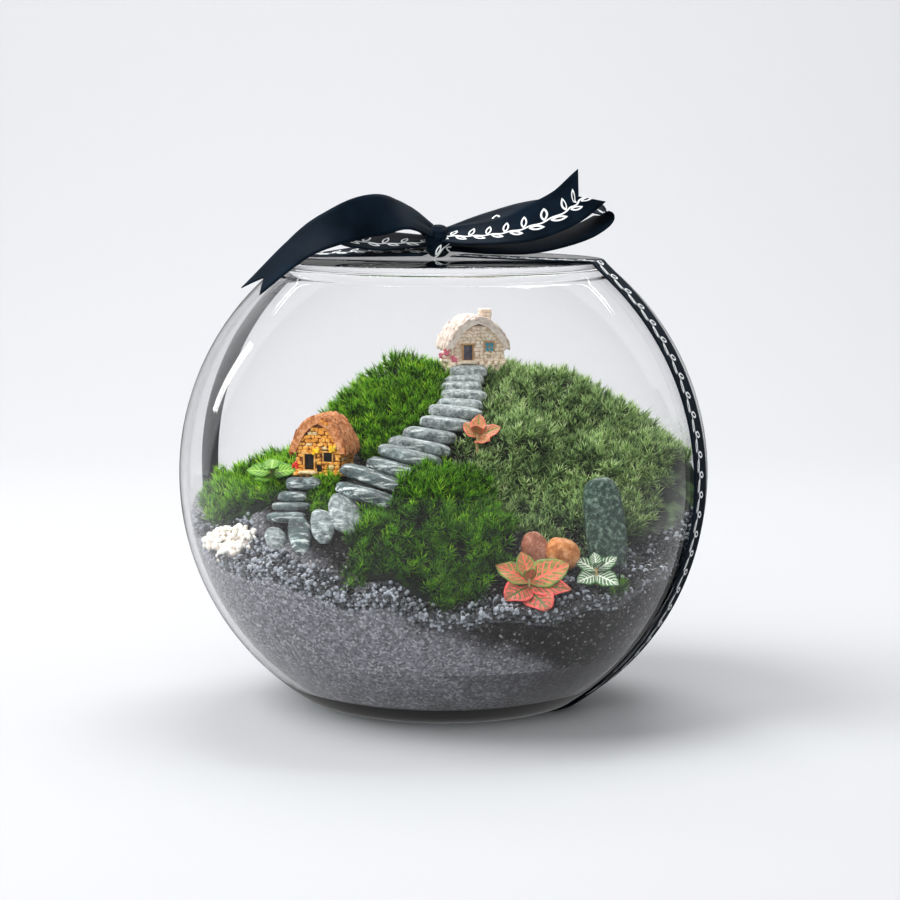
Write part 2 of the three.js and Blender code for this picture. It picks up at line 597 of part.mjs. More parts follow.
function bowPieceSolid(piece) {
  const curve = new THREE.CatmullRomCurve3(piece.path.map(p => new THREE.Vector3(...p)));
  const wide = new THREE.CatmullRomCurve3(piece.across.map(p => new THREE.Vector3(...p)));
  return solid(strip(piece.steps, piece.notch > 0 ? 2 : 1, (u, v, side) => {
    const at = curve.getPoint(u);
    const along = curve.getTangent(u);
    const across = wide.getPoint(u);
    across.addScaledVector(along, -across.dot(along)).normalize();
    const face = new THREE.Vector3().crossVectors(along, across);
    const back = u > 0.999 ? piece.notch * (1 - Math.abs(v)) : 0;
    const pinch = 0.6 + 0.4 * Math.min(1, Math.min(u, piece.notch > 0 ? 1 : 1 - u) * 5);
    return at.addScaledVector(across, v * ribbonWidth / 2 * pinch).addScaledVector(along, -back)
      .addScaledVector(face, side * ribbonHalf).toArray();
  }));
}

function knotSolid(grow = 0) {
  const [sx, sy, sz] = knot.size;
  return solid(blob(10, 8, (t, angle) => {
    const out = Math.sin(t * Math.PI) ** 0.8;
    const fold = 1 + 0.05 * Math.cos(3 * angle);
    return [
      knot.at[0] + (sx / 2 + grow) * out * Math.cos(angle) * fold,
      knot.at[1] + (sy / 2 + grow) * out * Math.sin(angle) * fold,
      knot.at[2] + (sz / 2 + grow) * Math.cos(t * Math.PI),
    ];
  }));
}

// Assembly: what is firm first, then what lies round it is cut clear of it
const colors = { glass: '#dfe8e8', stone: '#4f5d5c', soil: '#2b2522', ribbon: '#16222e' };

addPiece('bowl', bowlSolid(), colors.glass, 0.02);
addPiece('lid', lidSolid(), colors.glass, 0.02);
addPiece('drainage_gravel', drainageSolid(), '#77757a', 0.7);

const firmRooms = [];
const rooms = [];

function addStone(stone, color, roughness = 0.65) {
  const body = cutBy(stoneSolid(stone).intersect(glassInside), firmRooms);
  addPiece(stone.name, body, color, roughness);
  firmRooms.push(stoneSolid(stone, gap));
}

for (const cottage of [lowerCottage, upperCottage]) {
  addPiece(cottage.name, cottageSolid(cottage), cottage === lowerCottage ? '#c07a34' : '#b79a7e', 0.7);
  firmRooms.push(cottageRoom(cottage));
}
[...stairStones, ...slabStones, ...sideStones].forEach(stone => addStone(stone, colors.stone));
addStone(standingStone, '#46574f');
addStone(pebbles[0], '#c27f45');
addStone(pebbles[1], '#a36f5a');

const plantSolids = plants.map(plantSolid);
plants.forEach((plant, i) => {
  addPiece(plant.name, cutBy(plantSolids[i].intersect(glassInside), firmRooms), plant.color, 0.5);
});
const stemHoles = plants.map(stemHole);

const soilBottomZ = drainageTopZ + gap;
const grain = randomFrom(12);
const gravelBase = groundSolid(drainageTopZ + 4, () => -gravelDepth);
const gravelRoomBase = groundSolid(drainageTopZ + 4, () => -gravelDepth - gap);
const gravelSheet = groundSolid(drainageTopZ + 8, () => -0.9 * grain()).subtract(gravelBase);
const topGravel = gravelSheet.intersect(gravelPrism(0)).intersect(glassInside);
const gravelRoom = groundSolid(drainageTopZ + 8, () => 5).subtract(gravelRoomBase).intersect(gravelPrism(gap));
const hill = groundSolid(soilBottomZ, () => 0).intersect(glassInside);
const groundRoom = groundSolid(soilBottomZ, () => gap);
addPiece('top_gravel', cutBy(topGravel, [...firmRooms, ...stemHoles]), '#1d1e22', 0.35);
addPiece('soil', cutBy(hill, [gravelRoom, ...firmRooms, ...stemHoles]), colors.soil, 0.95);

const plantRooms = plants.map(plantRoom);
const leafRooms = plants.map(leafRoom);
const lichenBody = cutBy(lichenSolid().intersect(glassInside), [groundRoom, ...firmRooms]);
addPiece('white_lichen', lichenBody, '#efe6dc', 0.9);
rooms.push(solid(new THREE.SphereGeometry(1, 12, 8)
  .scale(lichen.size[0] + 4.5, lichen.size[1] + 4.5, lichen.size[2] + 5).translate(...lichen.at)));
for (const pad of mossPads) {
  const clearOf = pad.shoots > 20 ? plantRooms : leafRooms;
  const cutters = [groundRoom, ...firmRooms, ...clearOf, ...stemHoles, ...rooms];
  const body = cutBy(mossSolid(pad).intersect(glassInside), cutters);
  addPiece(pad.name, body, pad.color, 0.85);
  if (pad.shoots > 20) {
    rooms.push(solid(blob(20, 8, (t, angle) => {
      const share = Math.sin(Math.min(t, 1 - t) * Math.PI);
      const [x, y] = padPoint(pad, angle, share * 1.03);
      return [x, y, t < 0.5 ? ground(x, y) + 20 * Math.cos(t * Math.PI) + 4 : ground(x, y) - 4];
    })));
  }
}

addPiece('ribbon_band', cutBy(bandSolid(), [knotSolid(gap)]), colors.ribbon, 0.75);
addPiece('ribbon_knot', knotSolid(), colors.ribbon, 0.75);
for (const piece of bowPieces) {
  addPiece(piece.name, cutBy(bowPieceSolid(piece), [knotSolid(gap)]), colors.ribbon, 0.75);
}

export default terrarium;
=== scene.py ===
# Glass plant terrarium: bowl and lid, tied ribbon, moss hill with a stone stair and two cottages
import math
import random

import bmesh
import bpy
from mathutils import Euler, Matrix, Vector, noise


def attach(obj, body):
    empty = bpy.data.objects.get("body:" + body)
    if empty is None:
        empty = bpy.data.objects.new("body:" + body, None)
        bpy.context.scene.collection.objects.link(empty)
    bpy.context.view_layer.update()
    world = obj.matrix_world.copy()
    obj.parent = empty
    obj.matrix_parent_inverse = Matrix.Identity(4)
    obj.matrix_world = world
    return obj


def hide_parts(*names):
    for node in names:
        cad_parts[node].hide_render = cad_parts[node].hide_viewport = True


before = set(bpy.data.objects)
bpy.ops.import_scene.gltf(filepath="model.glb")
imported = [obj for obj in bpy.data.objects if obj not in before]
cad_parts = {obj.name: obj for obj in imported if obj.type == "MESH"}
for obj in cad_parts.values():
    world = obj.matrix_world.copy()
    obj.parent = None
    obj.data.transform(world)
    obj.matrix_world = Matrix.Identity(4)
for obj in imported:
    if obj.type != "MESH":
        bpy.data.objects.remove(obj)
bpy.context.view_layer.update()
mm = 0.001  # sizes below are in millimetres, the scene is in metres
goldenAngle = math.pi * (3 - math.sqrt(5))
print("frame loaded")


# Colours, nodes and pieces

def hexColor(text):
    channels = [int(text[i:i + 2], 16) / 255 for i in (1, 3, 5)]
    return [c / 12.92 if c <= 0.04045 else ((c + 0.055) / 1.055) ** 2.4 for c in channels] + [1.0]


def addNode(tree, kind, inputs=None, stops=None, **settings):
    added = tree.nodes.new(kind)
    for name, value in settings.items():
        setattr(added, name, value)
    for socket, value in (inputs or {}).items():
        if isinstance(value, bpy.types.NodeSocket):
            tree.links.new(value, added.inputs[socket])
        else:
            added.inputs[socket].default_value = value
    if stops:
        elements = added.color_ramp.elements
        elements[0].position, elements[0].color = stops[0][0], hexColor(stops[0][1])
        elements[1].position, elements[1].color = stops[-1][0], hexColor(stops[-1][1])
        for place, color in stops[1:-1]:
            elements.new(place).color = hexColor(color)
    return added


def newMaterial(name, values):
    material = bpy.data.materials.new(name)
    material.use_nodes = True
    tree = material.node_tree
    tree.nodes.clear()
    shader = addNode(tree, "ShaderNodeBsdfPrincipled", values)
    addNode(tree, "ShaderNodeOutputMaterial", {"Surface": shader.outputs[0]})
    place = addNode(tree, "ShaderNodeTexCoord").outputs["Object"]
    return material, tree, shader, place


def every(size):
    return 1 / (size * mm)  # the texture scale whose cells measure about that many millimetres


def finishPiece(name, bm, materials, nodes, sharp=None):
    mesh = bpy.data.meshes.new(name)
    bm.to_mesh(mesh)
    bm.free()
    for material in materials:
        mesh.materials.append(material)
    mesh.shade_smooth()
    if sharp:
        mesh.set_sharp_from_angle(angle=math.radians(sharp))
    piece = bpy.data.objects.new(name, mesh)
    bpy.context.scene.collection.objects.link(piece)
    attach(piece, "root")
    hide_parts(*nodes)
    return piece


def sphereForm(bm, segments, rings, place):
    # a closed form on a sphere's grid: place(t, angle) with t from 0 at the top to 1 at the bottom
    made = bmesh.ops.create_uvsphere(bm, u_segments=segments, v_segments=rings, radius=1)
    for vert in made["verts"]:
        t = math.acos(max(-1, min(1, vert.co.z))) / math.pi
        vert.co = Vector(place(t, math.atan2(vert.co.y, vert.co.x) % (2 * math.pi))) * mm
    return made["verts"]


def addCopy(bm, base, matrix):
    copy = base.copy()
    copy.transform(matrix)
    bm.from_mesh(copy)
    bpy.data.meshes.remove(copy)


def meshOf(bm, name):
    mesh = bpy.data.meshes.new(name)
    bm.to_mesh(mesh)
    bm.free()
    return mesh


def turned(degrees):
    return Euler([math.radians(angle) for angle in degrees], "XYZ").to_matrix().to_4x4()


# Camera at the photograph's view, pale floor that curves up behind, soft light

stageSet = {
    "eye": (3.1, -1250, 277.75), "pitch": 7.17, "lens": 106.12,
    "floorHalf": 4.0, "floorFront": -3.0, "floorBack": 0.9, "curve": 1.5, "wallTop": 4.0,
}

camera = bpy.data.objects.new("camera", bpy.data.cameras.new("camera"))
bpy.context.scene.collection.objects.link(camera)
camera.location = Vector(stageSet["eye"]) * mm
camera.rotation_euler = (math.radians(90 - stageSet["pitch"]), 0, 0)
camera.data.lens = stageSet["lens"]
camera.data.sensor_width = 36
camera.data.clip_start = 0.05
camera.data.clip_end = 20
bpy.context.scene.camera = camera

bm = bmesh.new()
floorLine = [(stageSet["floorFront"], 0), (stageSet["floorBack"], 0)]
for i in range(1, 25):
    bend = math.radians(90 * i / 24)
    floorLine.append((stageSet["floorBack"] + stageSet["curve"] * math.sin(bend),
                      stageSet["curve"] * (1 - math.cos(bend))))
floorLine.append((stageSet["floorBack"] + stageSet["curve"], stageSet["wallTop"]))
floorVerts = [bm.verts.new((-stageSet["floorHalf"], y, z)) for y, z in floorLine]
floorEdges = [bm.edges.new(pair) for pair in zip(floorVerts, floorVerts[1:])]
grown = bmesh.ops.extrude_edge_only(bm, edges=floorEdges)
bmesh.ops.translate(bm, vec=(2 * stageSet["floorHalf"], 0, 0),
                    verts=[g for g in grown["geom"] if isinstance(g, bmesh.types.BMVert)])
bmesh.ops.recalc_face_normals(bm, faces=bm.faces)
floorMesh = meshOf(bm, "studioFloor")
floorMesh.shade_smooth()
studioFloor = bpy.data.objects.new("studioFloor", floorMesh)
bpy.context.scene.collection.objects.link(studioFloor)
# matt white card: even, with a very faint tooth
paleCard, tree, shader, place = newMaterial("paleCard", {"Base Color": hexColor("#b4b5b8"), "Roughness": 0.75})
tooth = addNode(tree, "ShaderNodeTexNoise", {"Vector": place, "Scale": every(6), "Detail": 3.0})
bump = addNode(tree, "ShaderNodeBump", {"Height": tooth.outputs["Fac"], "Strength": 0.05, "Distance": 0.2 * mm})
tree.links.new(bump.outputs[0], shader.inputs["Normal"])
floorMesh.materials.append(paleCard)
studioFloor.visible_glossy = False  # with the dim room below, this keeps a pale veil off the dark filling

softBoxes = [  # name, place, aimed at, width, height, watts, mirrored by shiny surfaces
    ("keyBox", (-1.15, -0.2, 1.4), (0, 0, 0.12), 1.3, 1.3, 41.0, False),
    ("frontBox", (-0.35, -1.7, 1.2), (0, 0, 0.12), 1.4, 1.4, 20.0, False),
    ("fillBox", (1.6, 0.1, 0.95), (0, 0, 0.12), 1.2, 1.4, 7.0, False),
    ("backBox", (0.15, 0.75, 1.35), (0, 0, 0.12), 1.0, 0.6, 15.0, True),
    ("glintBox", (-1.3, 0.8, 0.6), (0, 0, 0.1), 0.07, 0.5, 1.2, True),
    ("wallBox", (0, 1.5, 1.6), (0, 2.4, 0.3), 3.4, 0.4, 26.5, True),
]
for name, place, aim, width, height, watts, mirrored in softBoxes:
    lamp = bpy.data.lights.new(name, "AREA")
    lamp.shape = "RECTANGLE"
    lamp.size, lamp.size_y = width, height
    lamp.energy = watts
    box = bpy.data.objects.new(name, lamp)
    bpy.context.scene.collection.objects.link(box)
    box.location = place
    box.rotation_euler = (Vector(aim) - Vector(place)).to_track_quat("-Z", "Y").to_euler()
    box.visible_glossy = mirrored
    box.visible_transmission = mirrored

world = bpy.data.worlds.new("paleRoom")
bpy.context.scene.world = world
world.use_nodes = True
roomTree = world.node_tree
litRoom = roomTree.nodes["Background"]
litRoom.inputs["Color"].default_value = hexColor("#f4f4f5")
litRoom.inputs["Strength"].default_value = 0.44
# what shiny surfaces mirror is dimmer than what lights the scene
mirroredRoom = addNode(roomTree, "ShaderNodeBackground", {"Color": hexColor("#f4f4f5"), "Strength": 0.24})
ray = addNode(roomTree, "ShaderNodeLightPath")
room = addNode(roomTree, "ShaderNodeMixShader", {0: ray.outputs["Is Glossy Ray"], 1: litRoom.outputs[0],
                                                 2: mirroredRoom.outputs[0]})
roomTree.links.new(room.outputs[0], roomTree.nodes["World Output"].inputs["Surface"])
scene = bpy.context.scene
scene.view_settings.view_transform = "Standard"
scene.view_settings.look = "None"
scene.cycles.max_bounces = 20
scene.cycles.transmission_bounces = 18
scene.cycles.transparent_max_bounces = 40
scene.cycles.glossy_bounces = 6
scene.cycles.diffuse_bounces = 4
scene.cycles.caustics_reflective = False
scene.cycles.caustics_refractive = False
print("camera, floor and light set")


# Glass bowl and lid

bowl = {
    "radius": 125.0, "centreZ": 110.0, "wall": 3.0, "mouth": 78.0, "foot": 52.0, "baseZ": 0.9, "floorZ": 6.2,
    "rimRound": 1.2, "gap": 0.3, "turns": 144,
}
bowl["rimZ"] = bowl["centreZ"] + math.sqrt(bowl["radius"] ** 2 - bowl["mouth"] ** 2)
lid = {"radius": 76.0, "thickness": 3.0, "edge": 0.8, "z": bowl["rimZ"] + bowl["gap"]}
lid["topZ"] = lid["z"] + lid["thickness"]


def sphereArc(radius, fromZ, toZ, steps):
    low = math.asin((fromZ - bowl["centreZ"]) / radius)
    high = math.asin((toZ - bowl["centreZ"]) / radius)
    lifts = [low + (high - low) * i / steps for i in range(steps + 1)]
    return [(radius * math.cos(lift), bowl["centreZ"] + radius * math.sin(lift)) for lift in lifts]


def footRound(radius, flatZ, steps):
    # the round between the flat underside and the sphere, tangent to both
    drop = bowl["centreZ"] - flatZ
    foot = bowl["foot"]
    fillet = (radius ** 2 - foot ** 2 - drop ** 2) / (2 * (radius - drop))
    sweep = math.atan2(foot, drop - fillet)
    angles = [sweep * i / steps for i in range(steps + 1)]
    return [(foot + fillet * math.sin(a), flatZ + fillet - fillet * math.cos(a)) for a in angles]


def wallProfile(radius, flatZ, topZ):
    foot = footRound(radius, flatZ, 8)
    return [(0, flatZ), (bowl["foot"] * 0.5, flatZ)] + foot + sphereArc(radius, foot[-1][1], topZ, 40)[1:]


def spunPiece(name, profile, material, node, sharp=None):
    bm = bmesh.new()
    verts = [bm.verts.new((r * mm, 0, z * mm)) for r, z in profile]
    edges = [bm.edges.new(pair) for pair in zip(verts, verts[1:])]
    bmesh.ops.spin(bm, geom=verts + edges, cent=(0, 0, 0), axis=(0, 0, 1), angle=2 * math.pi,
                   steps=bowl["turns"], use_merge=True)
    bmesh.ops.remove_doubles(bm, verts=bm.verts, dist=1e-6)
    bmesh.ops.recalc_face_normals(bm, faces=bm.faces)
    return finishPiece(name, bm, [material], [node], sharp)


# soda-lime glass, blown and fire-polished: clear, a breath of green, with a slow waviness in its reflections
clearGlass, tree, shader, place = newMaterial("sodaLimeGlass", {
    "Base Color": hexColor("#ffffff"), "Roughness": 0.0, "IOR": 1.36, "Transmission Weight": 1.0})
wave = addNode(tree, "ShaderNodeTexNoise", {"Vector": place, "Scale": every(60), "Detail": 1.0})
bump = addNode(tree, "ShaderNodeBump", {"Height": wave.outputs["Fac"], "Strength": 0.1, "Distance": 0.8 * mm})
tree.links.new(bump.outputs[0], shader.inputs["Normal"])
# lamps and bounced light pass straight through, as they do through clear glass
clear = addNode(tree, "ShaderNodeBsdfTransparent", {"Color": hexColor("#fbfdfc")})
ray = addNode(tree, "ShaderNodeLightPath")
eitherRay = addNode(tree, "ShaderNodeMath", {0: ray.outputs["Is Shadow Ray"], 1: ray.outputs["Is Diffuse Ray"]},
                    operation="MAXIMUM")
mixed = addNode(tree, "ShaderNodeMixShader", {0: eitherRay.outputs[0], 1: shader.outputs[0], 2: clear.outputs[0]})
output = next(n for n in tree.nodes if n.type == "OUTPUT_MATERIAL")
tree.links.new(mixed.outputs[0], output.inputs["Surface"])

lipStart = bowl["rimZ"] - bowl["rimRound"]
outer = wallProfile(bowl["radius"], bowl["baseZ"], lipStart)
inner = wallProfile(bowl["radius"] - bowl["wall"], bowl["floorZ"], lipStart)
lipMiddle = (outer[-1][0] + inner[-1][0]) / 2
lipHalf = (outer[-1][0] - inner[-1][0]) / 2
lip = [(lipMiddle + lipHalf * math.cos(math.radians(a)), lipStart + bowl["rimRound"] * math.sin(math.radians(a)))
       for a in range(20, 180, 20)]
clearBowl = spunPiece("clearBowl", outer + lip + inner[::-1], clearGlass, "bowl")

edge = lid["edge"]
lidLine = [(0, lid["z"]), (lid["radius"] - edge, lid["z"])]
for a in range(-70, 80, 20):
    sign = 1 if a > 0 else -1
    lidLine.append((lid["radius"] - edge + edge * math.cos(math.radians(a)),
                    lid["z"] + lid["thickness"] / 2 + sign * (lid["thickness"] / 2 - edge)
                    + edge * math.sin(math.radians(a))))
lidLine += [(lid["radius"] - edge, lid["topZ"]), (0, lid["topZ"])]
clearLid = spunPiece("clearLid", lidLine, clearGlass, "lid", sharp=40)
print("glass made")


# The ground: heights that the hill, the gravel, the moss and the stones share

groundSoftness = 200
groundPoints = [
    (3, -108, 59), (47, -98, 58), (76, -80, 62), (100, -56, 72), (112, -36, 83), (118, -15, 93),
    (-43, -102, 66), (-63, -94, 72), (-86, -77, 74), (-99, -62, 78), (-109, -45, 83), (-114, -15, 92),
    (-43, -73, 96), (-20, -48, 112), (-4, -20, 123.5), (8, 8, 136), (13, 33, 145), (15, 56, 157),
    (-53, -79, 91), (-70, -76, 85), (-66, -38, 107), (-72, -60, 94), (-55, -20, 113), (-48, 2, 118),
    (-98, -12, 97), (-86, 4, 106), (-72, 24, 112), (-40, 26, 137), (-20, 44, 153), (-100, 40, 94),
    (0, 108, 98), (60, 92, 100), (-60, 92, 92), (58, 36, 148), (80, 20, 137), (98, 5, 122), (113, 12, 111),
    (26, -60, 92), (3, -42, 110), (40, -86, 67), (53, -75, 76), (74, -60, 77), (60, -34, 96),
    (70, -8, 116), (36, 0, 129), (104, -30, 88), (95, 52, 112), (40, 58, 150),
]


def ground(x, y):
    total = weights = 0.0
    for px, py, pz in groundPoints:
        weight = 1 / ((x - px) ** 2 + (y - py) ** 2 + groundSoftness) ** 2
        total += weight * pz
        weights += weight
    return total / weights


fill = {"radius": 121.7, "bottomZ": 6.5, "drainageZ": 32.0}
fillFoot = footRound(fill["radius"], fill["bottomZ"], 12)


def fillRadius(z):
    # how far the filling reaches at a height, just inside the glass
    if z >= fillFoot[-1][1]:
        return math.sqrt(max(0, fill["radius"] ** 2 - (z - bowl["centreZ"]) ** 2))
    for (r0, z0), (r1, z1) in zip(fillFoot, fillFoot[1:]):
        if z <= z1:
            return r0 + (r1 - r0) * max(0, z - z0) / (z1 - z0)
    return bowl["foot"]


def insideGlass(point, margin):
    # keeps a point in millimetres clear of the bowl's wall
    offset = Vector(point) - Vector((0, 0, bowl["centreZ"]))
    reach = fill["radius"] - margin
    if offset.length <= reach:
        return Vector(point)
    return offset * (reach / offset.length) + Vector((0, 0, bowl["centreZ"]))


def glassContact(angle):
    radius = fill["radius"]
    for _ in range(6):
        z = ground(radius * math.cos(angle), radius * math.sin(angle))
        radius = fillRadius(z)
    return radius, z


def roughness(x, y, size, height):
    return height * noise.noise(Vector((x / size, y / size, 0.37)))


gravel = {"grain": 2.8, "spacing": 2.45, "seed": 5, "depth": 6.0, "edge": [
    (-92, -22), (-84, -54), (-66, -84), (-36, -99), (0, -97), (26, -93), (36, -70), (62, -55), (84, -50),
    (98, -24), (106, 4)]}


def edgeY(x):
    line = gravel["edge"]
    if x <= line[0][0]:
        return line[0][1]
    for (x0, y0), (x1, y1) in zip(line, line[1:]):
        if x <= x1:
            return y0 + (y1 - y0) * (x - x0) / (x1 - x0)
    return line[-1][1]


def gravelRecess(angle, depth):
    # the soil stands back from the glass behind the gravel that lies against it
    x, y = 118 * math.cos(angle), 118 * math.sin(angle)
    inside = max(0, min(1, (edgeY(x) + 4 - y) / 4))
    return 2.7 * inside * max(0, min(1, 1 - (depth - gravel["depth"] + 1.5) / 1.5))


def soilTop(x, y):
    under = 1.6 if y < edgeY(x) else 0
    return ground(x, y) - 0.4 - under + roughness(x, y, 3.5, 0.5)


# drainage layer: grey crushed pumice, dull, each grain its own grey, with painted shade towards the right and painted
# light at the bottom
greyPumice, tree, shader, place = newMaterial("crushedPumice", {"Roughness": 0.85})
grains = addNode(tree, "ShaderNodeTexVoronoi", {"Vector": place, "Scale": every(1.05), "Randomness": 1.0})
tone = addNode(tree, "ShaderNodeSeparateColor", {0: grains.outputs["Color"]})
greys = addNode(tree, "ShaderNodeValToRGB", {0: tone.outputs[0]}, stops=[
    (0.0, "#525157"), (0.3, "#6b6a71"), (0.75, "#86858c"), (1.0, "#b0aeb4")])
shade = addNode(tree, "ShaderNodeTexNoise", {"Vector": place, "Scale": every(14), "Detail": 4.0})
shadeStops = addNode(tree, "ShaderNodeValToRGB", {0: shade.outputs["Fac"]}, stops=[(0.3, "#8a888a"), (0.7, "#ffffff")])
tinted = addNode(tree, "ShaderNodeMix", {0: 0.6, 6: greys.outputs[0], 7: shadeStops.outputs[0]},
                 data_type="RGBA", blend_type="MULTIPLY")
axes = addNode(tree, "ShaderNodeSeparateXYZ", {0: place})
# painted shade: the pumice darkens towards the right
paintedShadeRightward = addNode(tree, "ShaderNodeMapRange", {"Value": axes.outputs["X"], "From Min": -0.02, "From Max": 0.085,
                                                 "To Min": 0.0, "To Max": 0.9}, interpolation_type="SMOOTHSTEP")
shadedToTheRight = addNode(tree, "ShaderNodeMix", {0: paintedShadeRightward.outputs[0], 6: tinted.outputs[2], 7: hexColor("#1b1819")},
                   data_type="RGBA")
paintedBottomLight = addNode(tree, "ShaderNodeMapRange", {"Value": axes.outputs["Z"], "From Min": 0.0065, "From Max": 0.012,
                                            "To Min": 0.85, "To Max": 0.0})  # painted light: paler at the bottom, lifting the shade under the bowl
bottomLitPumice = addNode(tree, "ShaderNodeMix", {0: paintedBottomLight.outputs[0], 6: shadedToTheRight.outputs[2], 7: hexColor("#cfcdd0")},
                 data_type="RGBA")
tree.links.new(bottomLitPumice.outputs[2], shader.inputs["Base Color"])
bump = addNode(tree, "ShaderNodeBump", {"Height": grains.outputs["Distance"], "Strength": 0.8, "Distance": 0.5 * mm},
               invert=True)
tree.links.new(bump.outputs[0], shader.inputs["Normal"])


def fillingForm(segments, rings, topZ, bottomZ, contact, recess=lambda angle, depth: 0):
    bm = bmesh.new()
    places = {}

    def place(t, angle):
        key = round(angle, 5)
        if key not in places:
            places[key] = contact(angle)
        radius, edgeZ = places[key]
        if t <= 0.5:
            share = t * 2 * (radius - recess(angle, 0)) / radius
            x, y = radius * share * math.cos(angle), radius * share * math.sin(angle)
            return x, y, topZ(x, y)
        if t <= 0.75:
            z = edgeZ + (bottomZ - edgeZ) * (t - 0.5) * 4
            wide = fillRadius(z) - recess(angle, edgeZ - z)
        else:
            z = bottomZ
            wide = fillRadius(bottomZ) * (1 - t) * 4
        return wide * math.cos(angle), wide * math.sin(angle), z

    sphereForm(bm, segments, rings, place)
    bmesh.ops.recalc_face_normals(bm, faces=bm.faces)
    return bm


bm = fillingForm(120, 48, lambda x, y: fill["drainageZ"] - 0.02, fill["bottomZ"],
                 lambda angle: (fillRadius(fill["drainageZ"]), fill["drainageZ"] - 0.02))
pumiceLayer = finishPiece("pumiceLayer", bm, [greyPumice], ["drainage_gravel"], sharp=50)

# potting mix: dark peat with grey and pale mineral specks, a paler grey mix low down; the pale band rises to the left,
# partly painted reflection of the bright floor
pottingMix, tree, shader, place = newMaterial("pottingMix", {"Roughness": 0.9})
specks = addNode(tree, "ShaderNodeTexVoronoi", {"Vector": place, "Scale": every(1.05)})
speckTone = addNode(tree, "ShaderNodeSeparateColor", {0: specks.outputs["Color"]})
darkMix = addNode(tree, "ShaderNodeValToRGB", {0: speckTone.outputs[1]}, stops=[
    (0.0, "#0a0809"), (0.6, "#141112"), (0.88, "#2a2627"), (0.985, "#6d6867"), (1.0, "#a8a4a1")])
paleMix = addNode(tree, "ShaderNodeValToRGB", {0: speckTone.outputs[1]}, stops=[
    (0.0, "#56555b"), (0.35, "#717077"), (0.75, "#8c8b92"), (1.0, "#b4b2b8")])
axes = addNode(tree, "ShaderNodeSeparateXYZ", {0: place})
drift = addNode(tree, "ShaderNodeTexNoise", {"Vector": place, "Scale": every(22), "Detail": 5.0})
# painted reflection: the line of the pale band rises towards the left
paintedReflectionSlant = addNode(tree, "ShaderNodeMath", {0: axes.outputs["X"], 1: -0.45, 2: 0.026}, operation="MULTIPLY_ADD")
wander = addNode(tree, "ShaderNodeMath", {0: drift.outputs["Fac"], 1: 0.030, 2: paintedReflectionSlant.outputs[0]},
                 operation="MULTIPLY_ADD")
above = addNode(tree, "ShaderNodeMath", {0: axes.outputs["Z"], 1: wander.outputs[0]}, operation="SUBTRACT")
layer = addNode(tree, "ShaderNodeMapRange", {"Value": above.outputs[0], "From Min": 0.004, "From Max": 0.022,
                                             "To Min": 0.0, "To Max": 1.0}, interpolation_type="SMOOTHSTEP")
soilColor = addNode(tree, "ShaderNodeMix", {0: layer.outputs[0], 6: paleMix.outputs[0], 7: darkMix.outputs[0]},
                    data_type="RGBA")
tree.links.new(soilColor.outputs[2], shader.inputs["Base Color"])
crumbs = addNode(tree, "ShaderNodeTexNoise", {"Vector": place, "Scale": every(2.2), "Detail": 6.0})
heights = addNode(tree, "ShaderNodeMath", {0: crumbs.outputs["Fac"], 1: specks.outputs["Distance"]},
                  operation="SUBTRACT")
bump = addNode(tree, "ShaderNodeBump", {"Height": heights.outputs[0], "Strength": 0.9, "Distance": 0.8 * mm})
tree.links.new(bump.outputs[0], shader.inputs["Normal"])

bm = fillingForm(180, 140, soilTop, fill["drainageZ"] + 0.02, glassContact, gravelRecess)
soilHill = finishPiece("soilHill", bm, [pottingMix], ["soil"], sharp=50)
print("layers made")


# Top gravel: glossy black aquarium grains, 2 to 3 mm, one material with a tone per grain

# polished black quartz gravel: near black, wet-looking, some grains charcoal, and a few facets painted pale as glints
blackQuartz, tree, shader, place = newMaterial("polishedBlackGravel", {"Roughness": 0.2, "Specular IOR Level": 1.0, "Coat Weight": 0.6,
                                                                 "Coat Roughness": 0.12})
grainTone = addNode(tree, "ShaderNodeAttribute", attribute_name="tone")
blacks = addNode(tree, "ShaderNodeValToRGB", {0: grainTone.outputs["Fac"]}, stops=[
    (0.0, "#060608"), (0.4, "#131318"), (0.66, "#32343b"), (1.0, "#9a9ea8")])
tree.links.new(blacks.outputs[0], shader.inputs["Base Color"])
pits = addNode(tree, "ShaderNodeTexNoise", {"Vector": place, "Scale": every(0.8), "Detail": 3.0})
pitShine = addNode(tree, "ShaderNodeMapRange", {"Value": pits.outputs["Fac"], "To Min": 0.08, "To Max": 0.3})
tree.links.new(pitShine.outputs[0], shader.inputs["Roughness"])
bump = addNode(tree, "ShaderNodeBump", {"Height": pits.outputs["Fac"], "Strength": 0.35, "Distance": 0.2 * mm})
tree.links.new(bump.outputs[0], shader.inputs["Normal"])


def grainMesh(seed, tone):
    chance = random.Random(seed)
    bm = bmesh.new()
    layer = bm.verts.layers.float.new("tone")
    bmesh.ops.create_uvsphere(bm, u_segments=6, v_segments=4, radius=0.52)
    for vert in bm.verts:
        vert.co *= 1 + 0.22 * (chance.random() - 0.5)
        paintedGlint = 0.6 if chance.random() < 0.14 else 0.0  # painted glint: a pale facet stands in for the highlight on polished grains
        vert[layer] = tone + paintedGlint
    bmesh.ops.scale(bm, vec=(1, 0.86, 0.78), verts=bm.verts)
    return meshOf(bm, "grain")


chance = random.Random(gravel["seed"])
grainMeshes = [grainMesh(i, i / 9) for i in range(10)]
grainVerts = len(grainMeshes[0].vertices)
bm = bmesh.new()
step = gravel["spacing"]


def addGrain(bm, point, size):
    place = insideGlass(point, size * 0.55)
    matrix = Matrix.Translation(place * mm) @ Euler([chance.uniform(0, 6.28) for _ in range(3)]).to_matrix().to_4x4()
    paintedPaleLeft = max(0, min(1, (72 - point[0]) / 95))  # painted reflection: grains turn greyer towards the left, standing in for the pale floor mirrored there
    addCopy(bm, grainMeshes[int(10 * chance.random() ** (1.9 - 1.4 * paintedPaleLeft))], matrix @ Matrix.Scale(size * mm, 4))


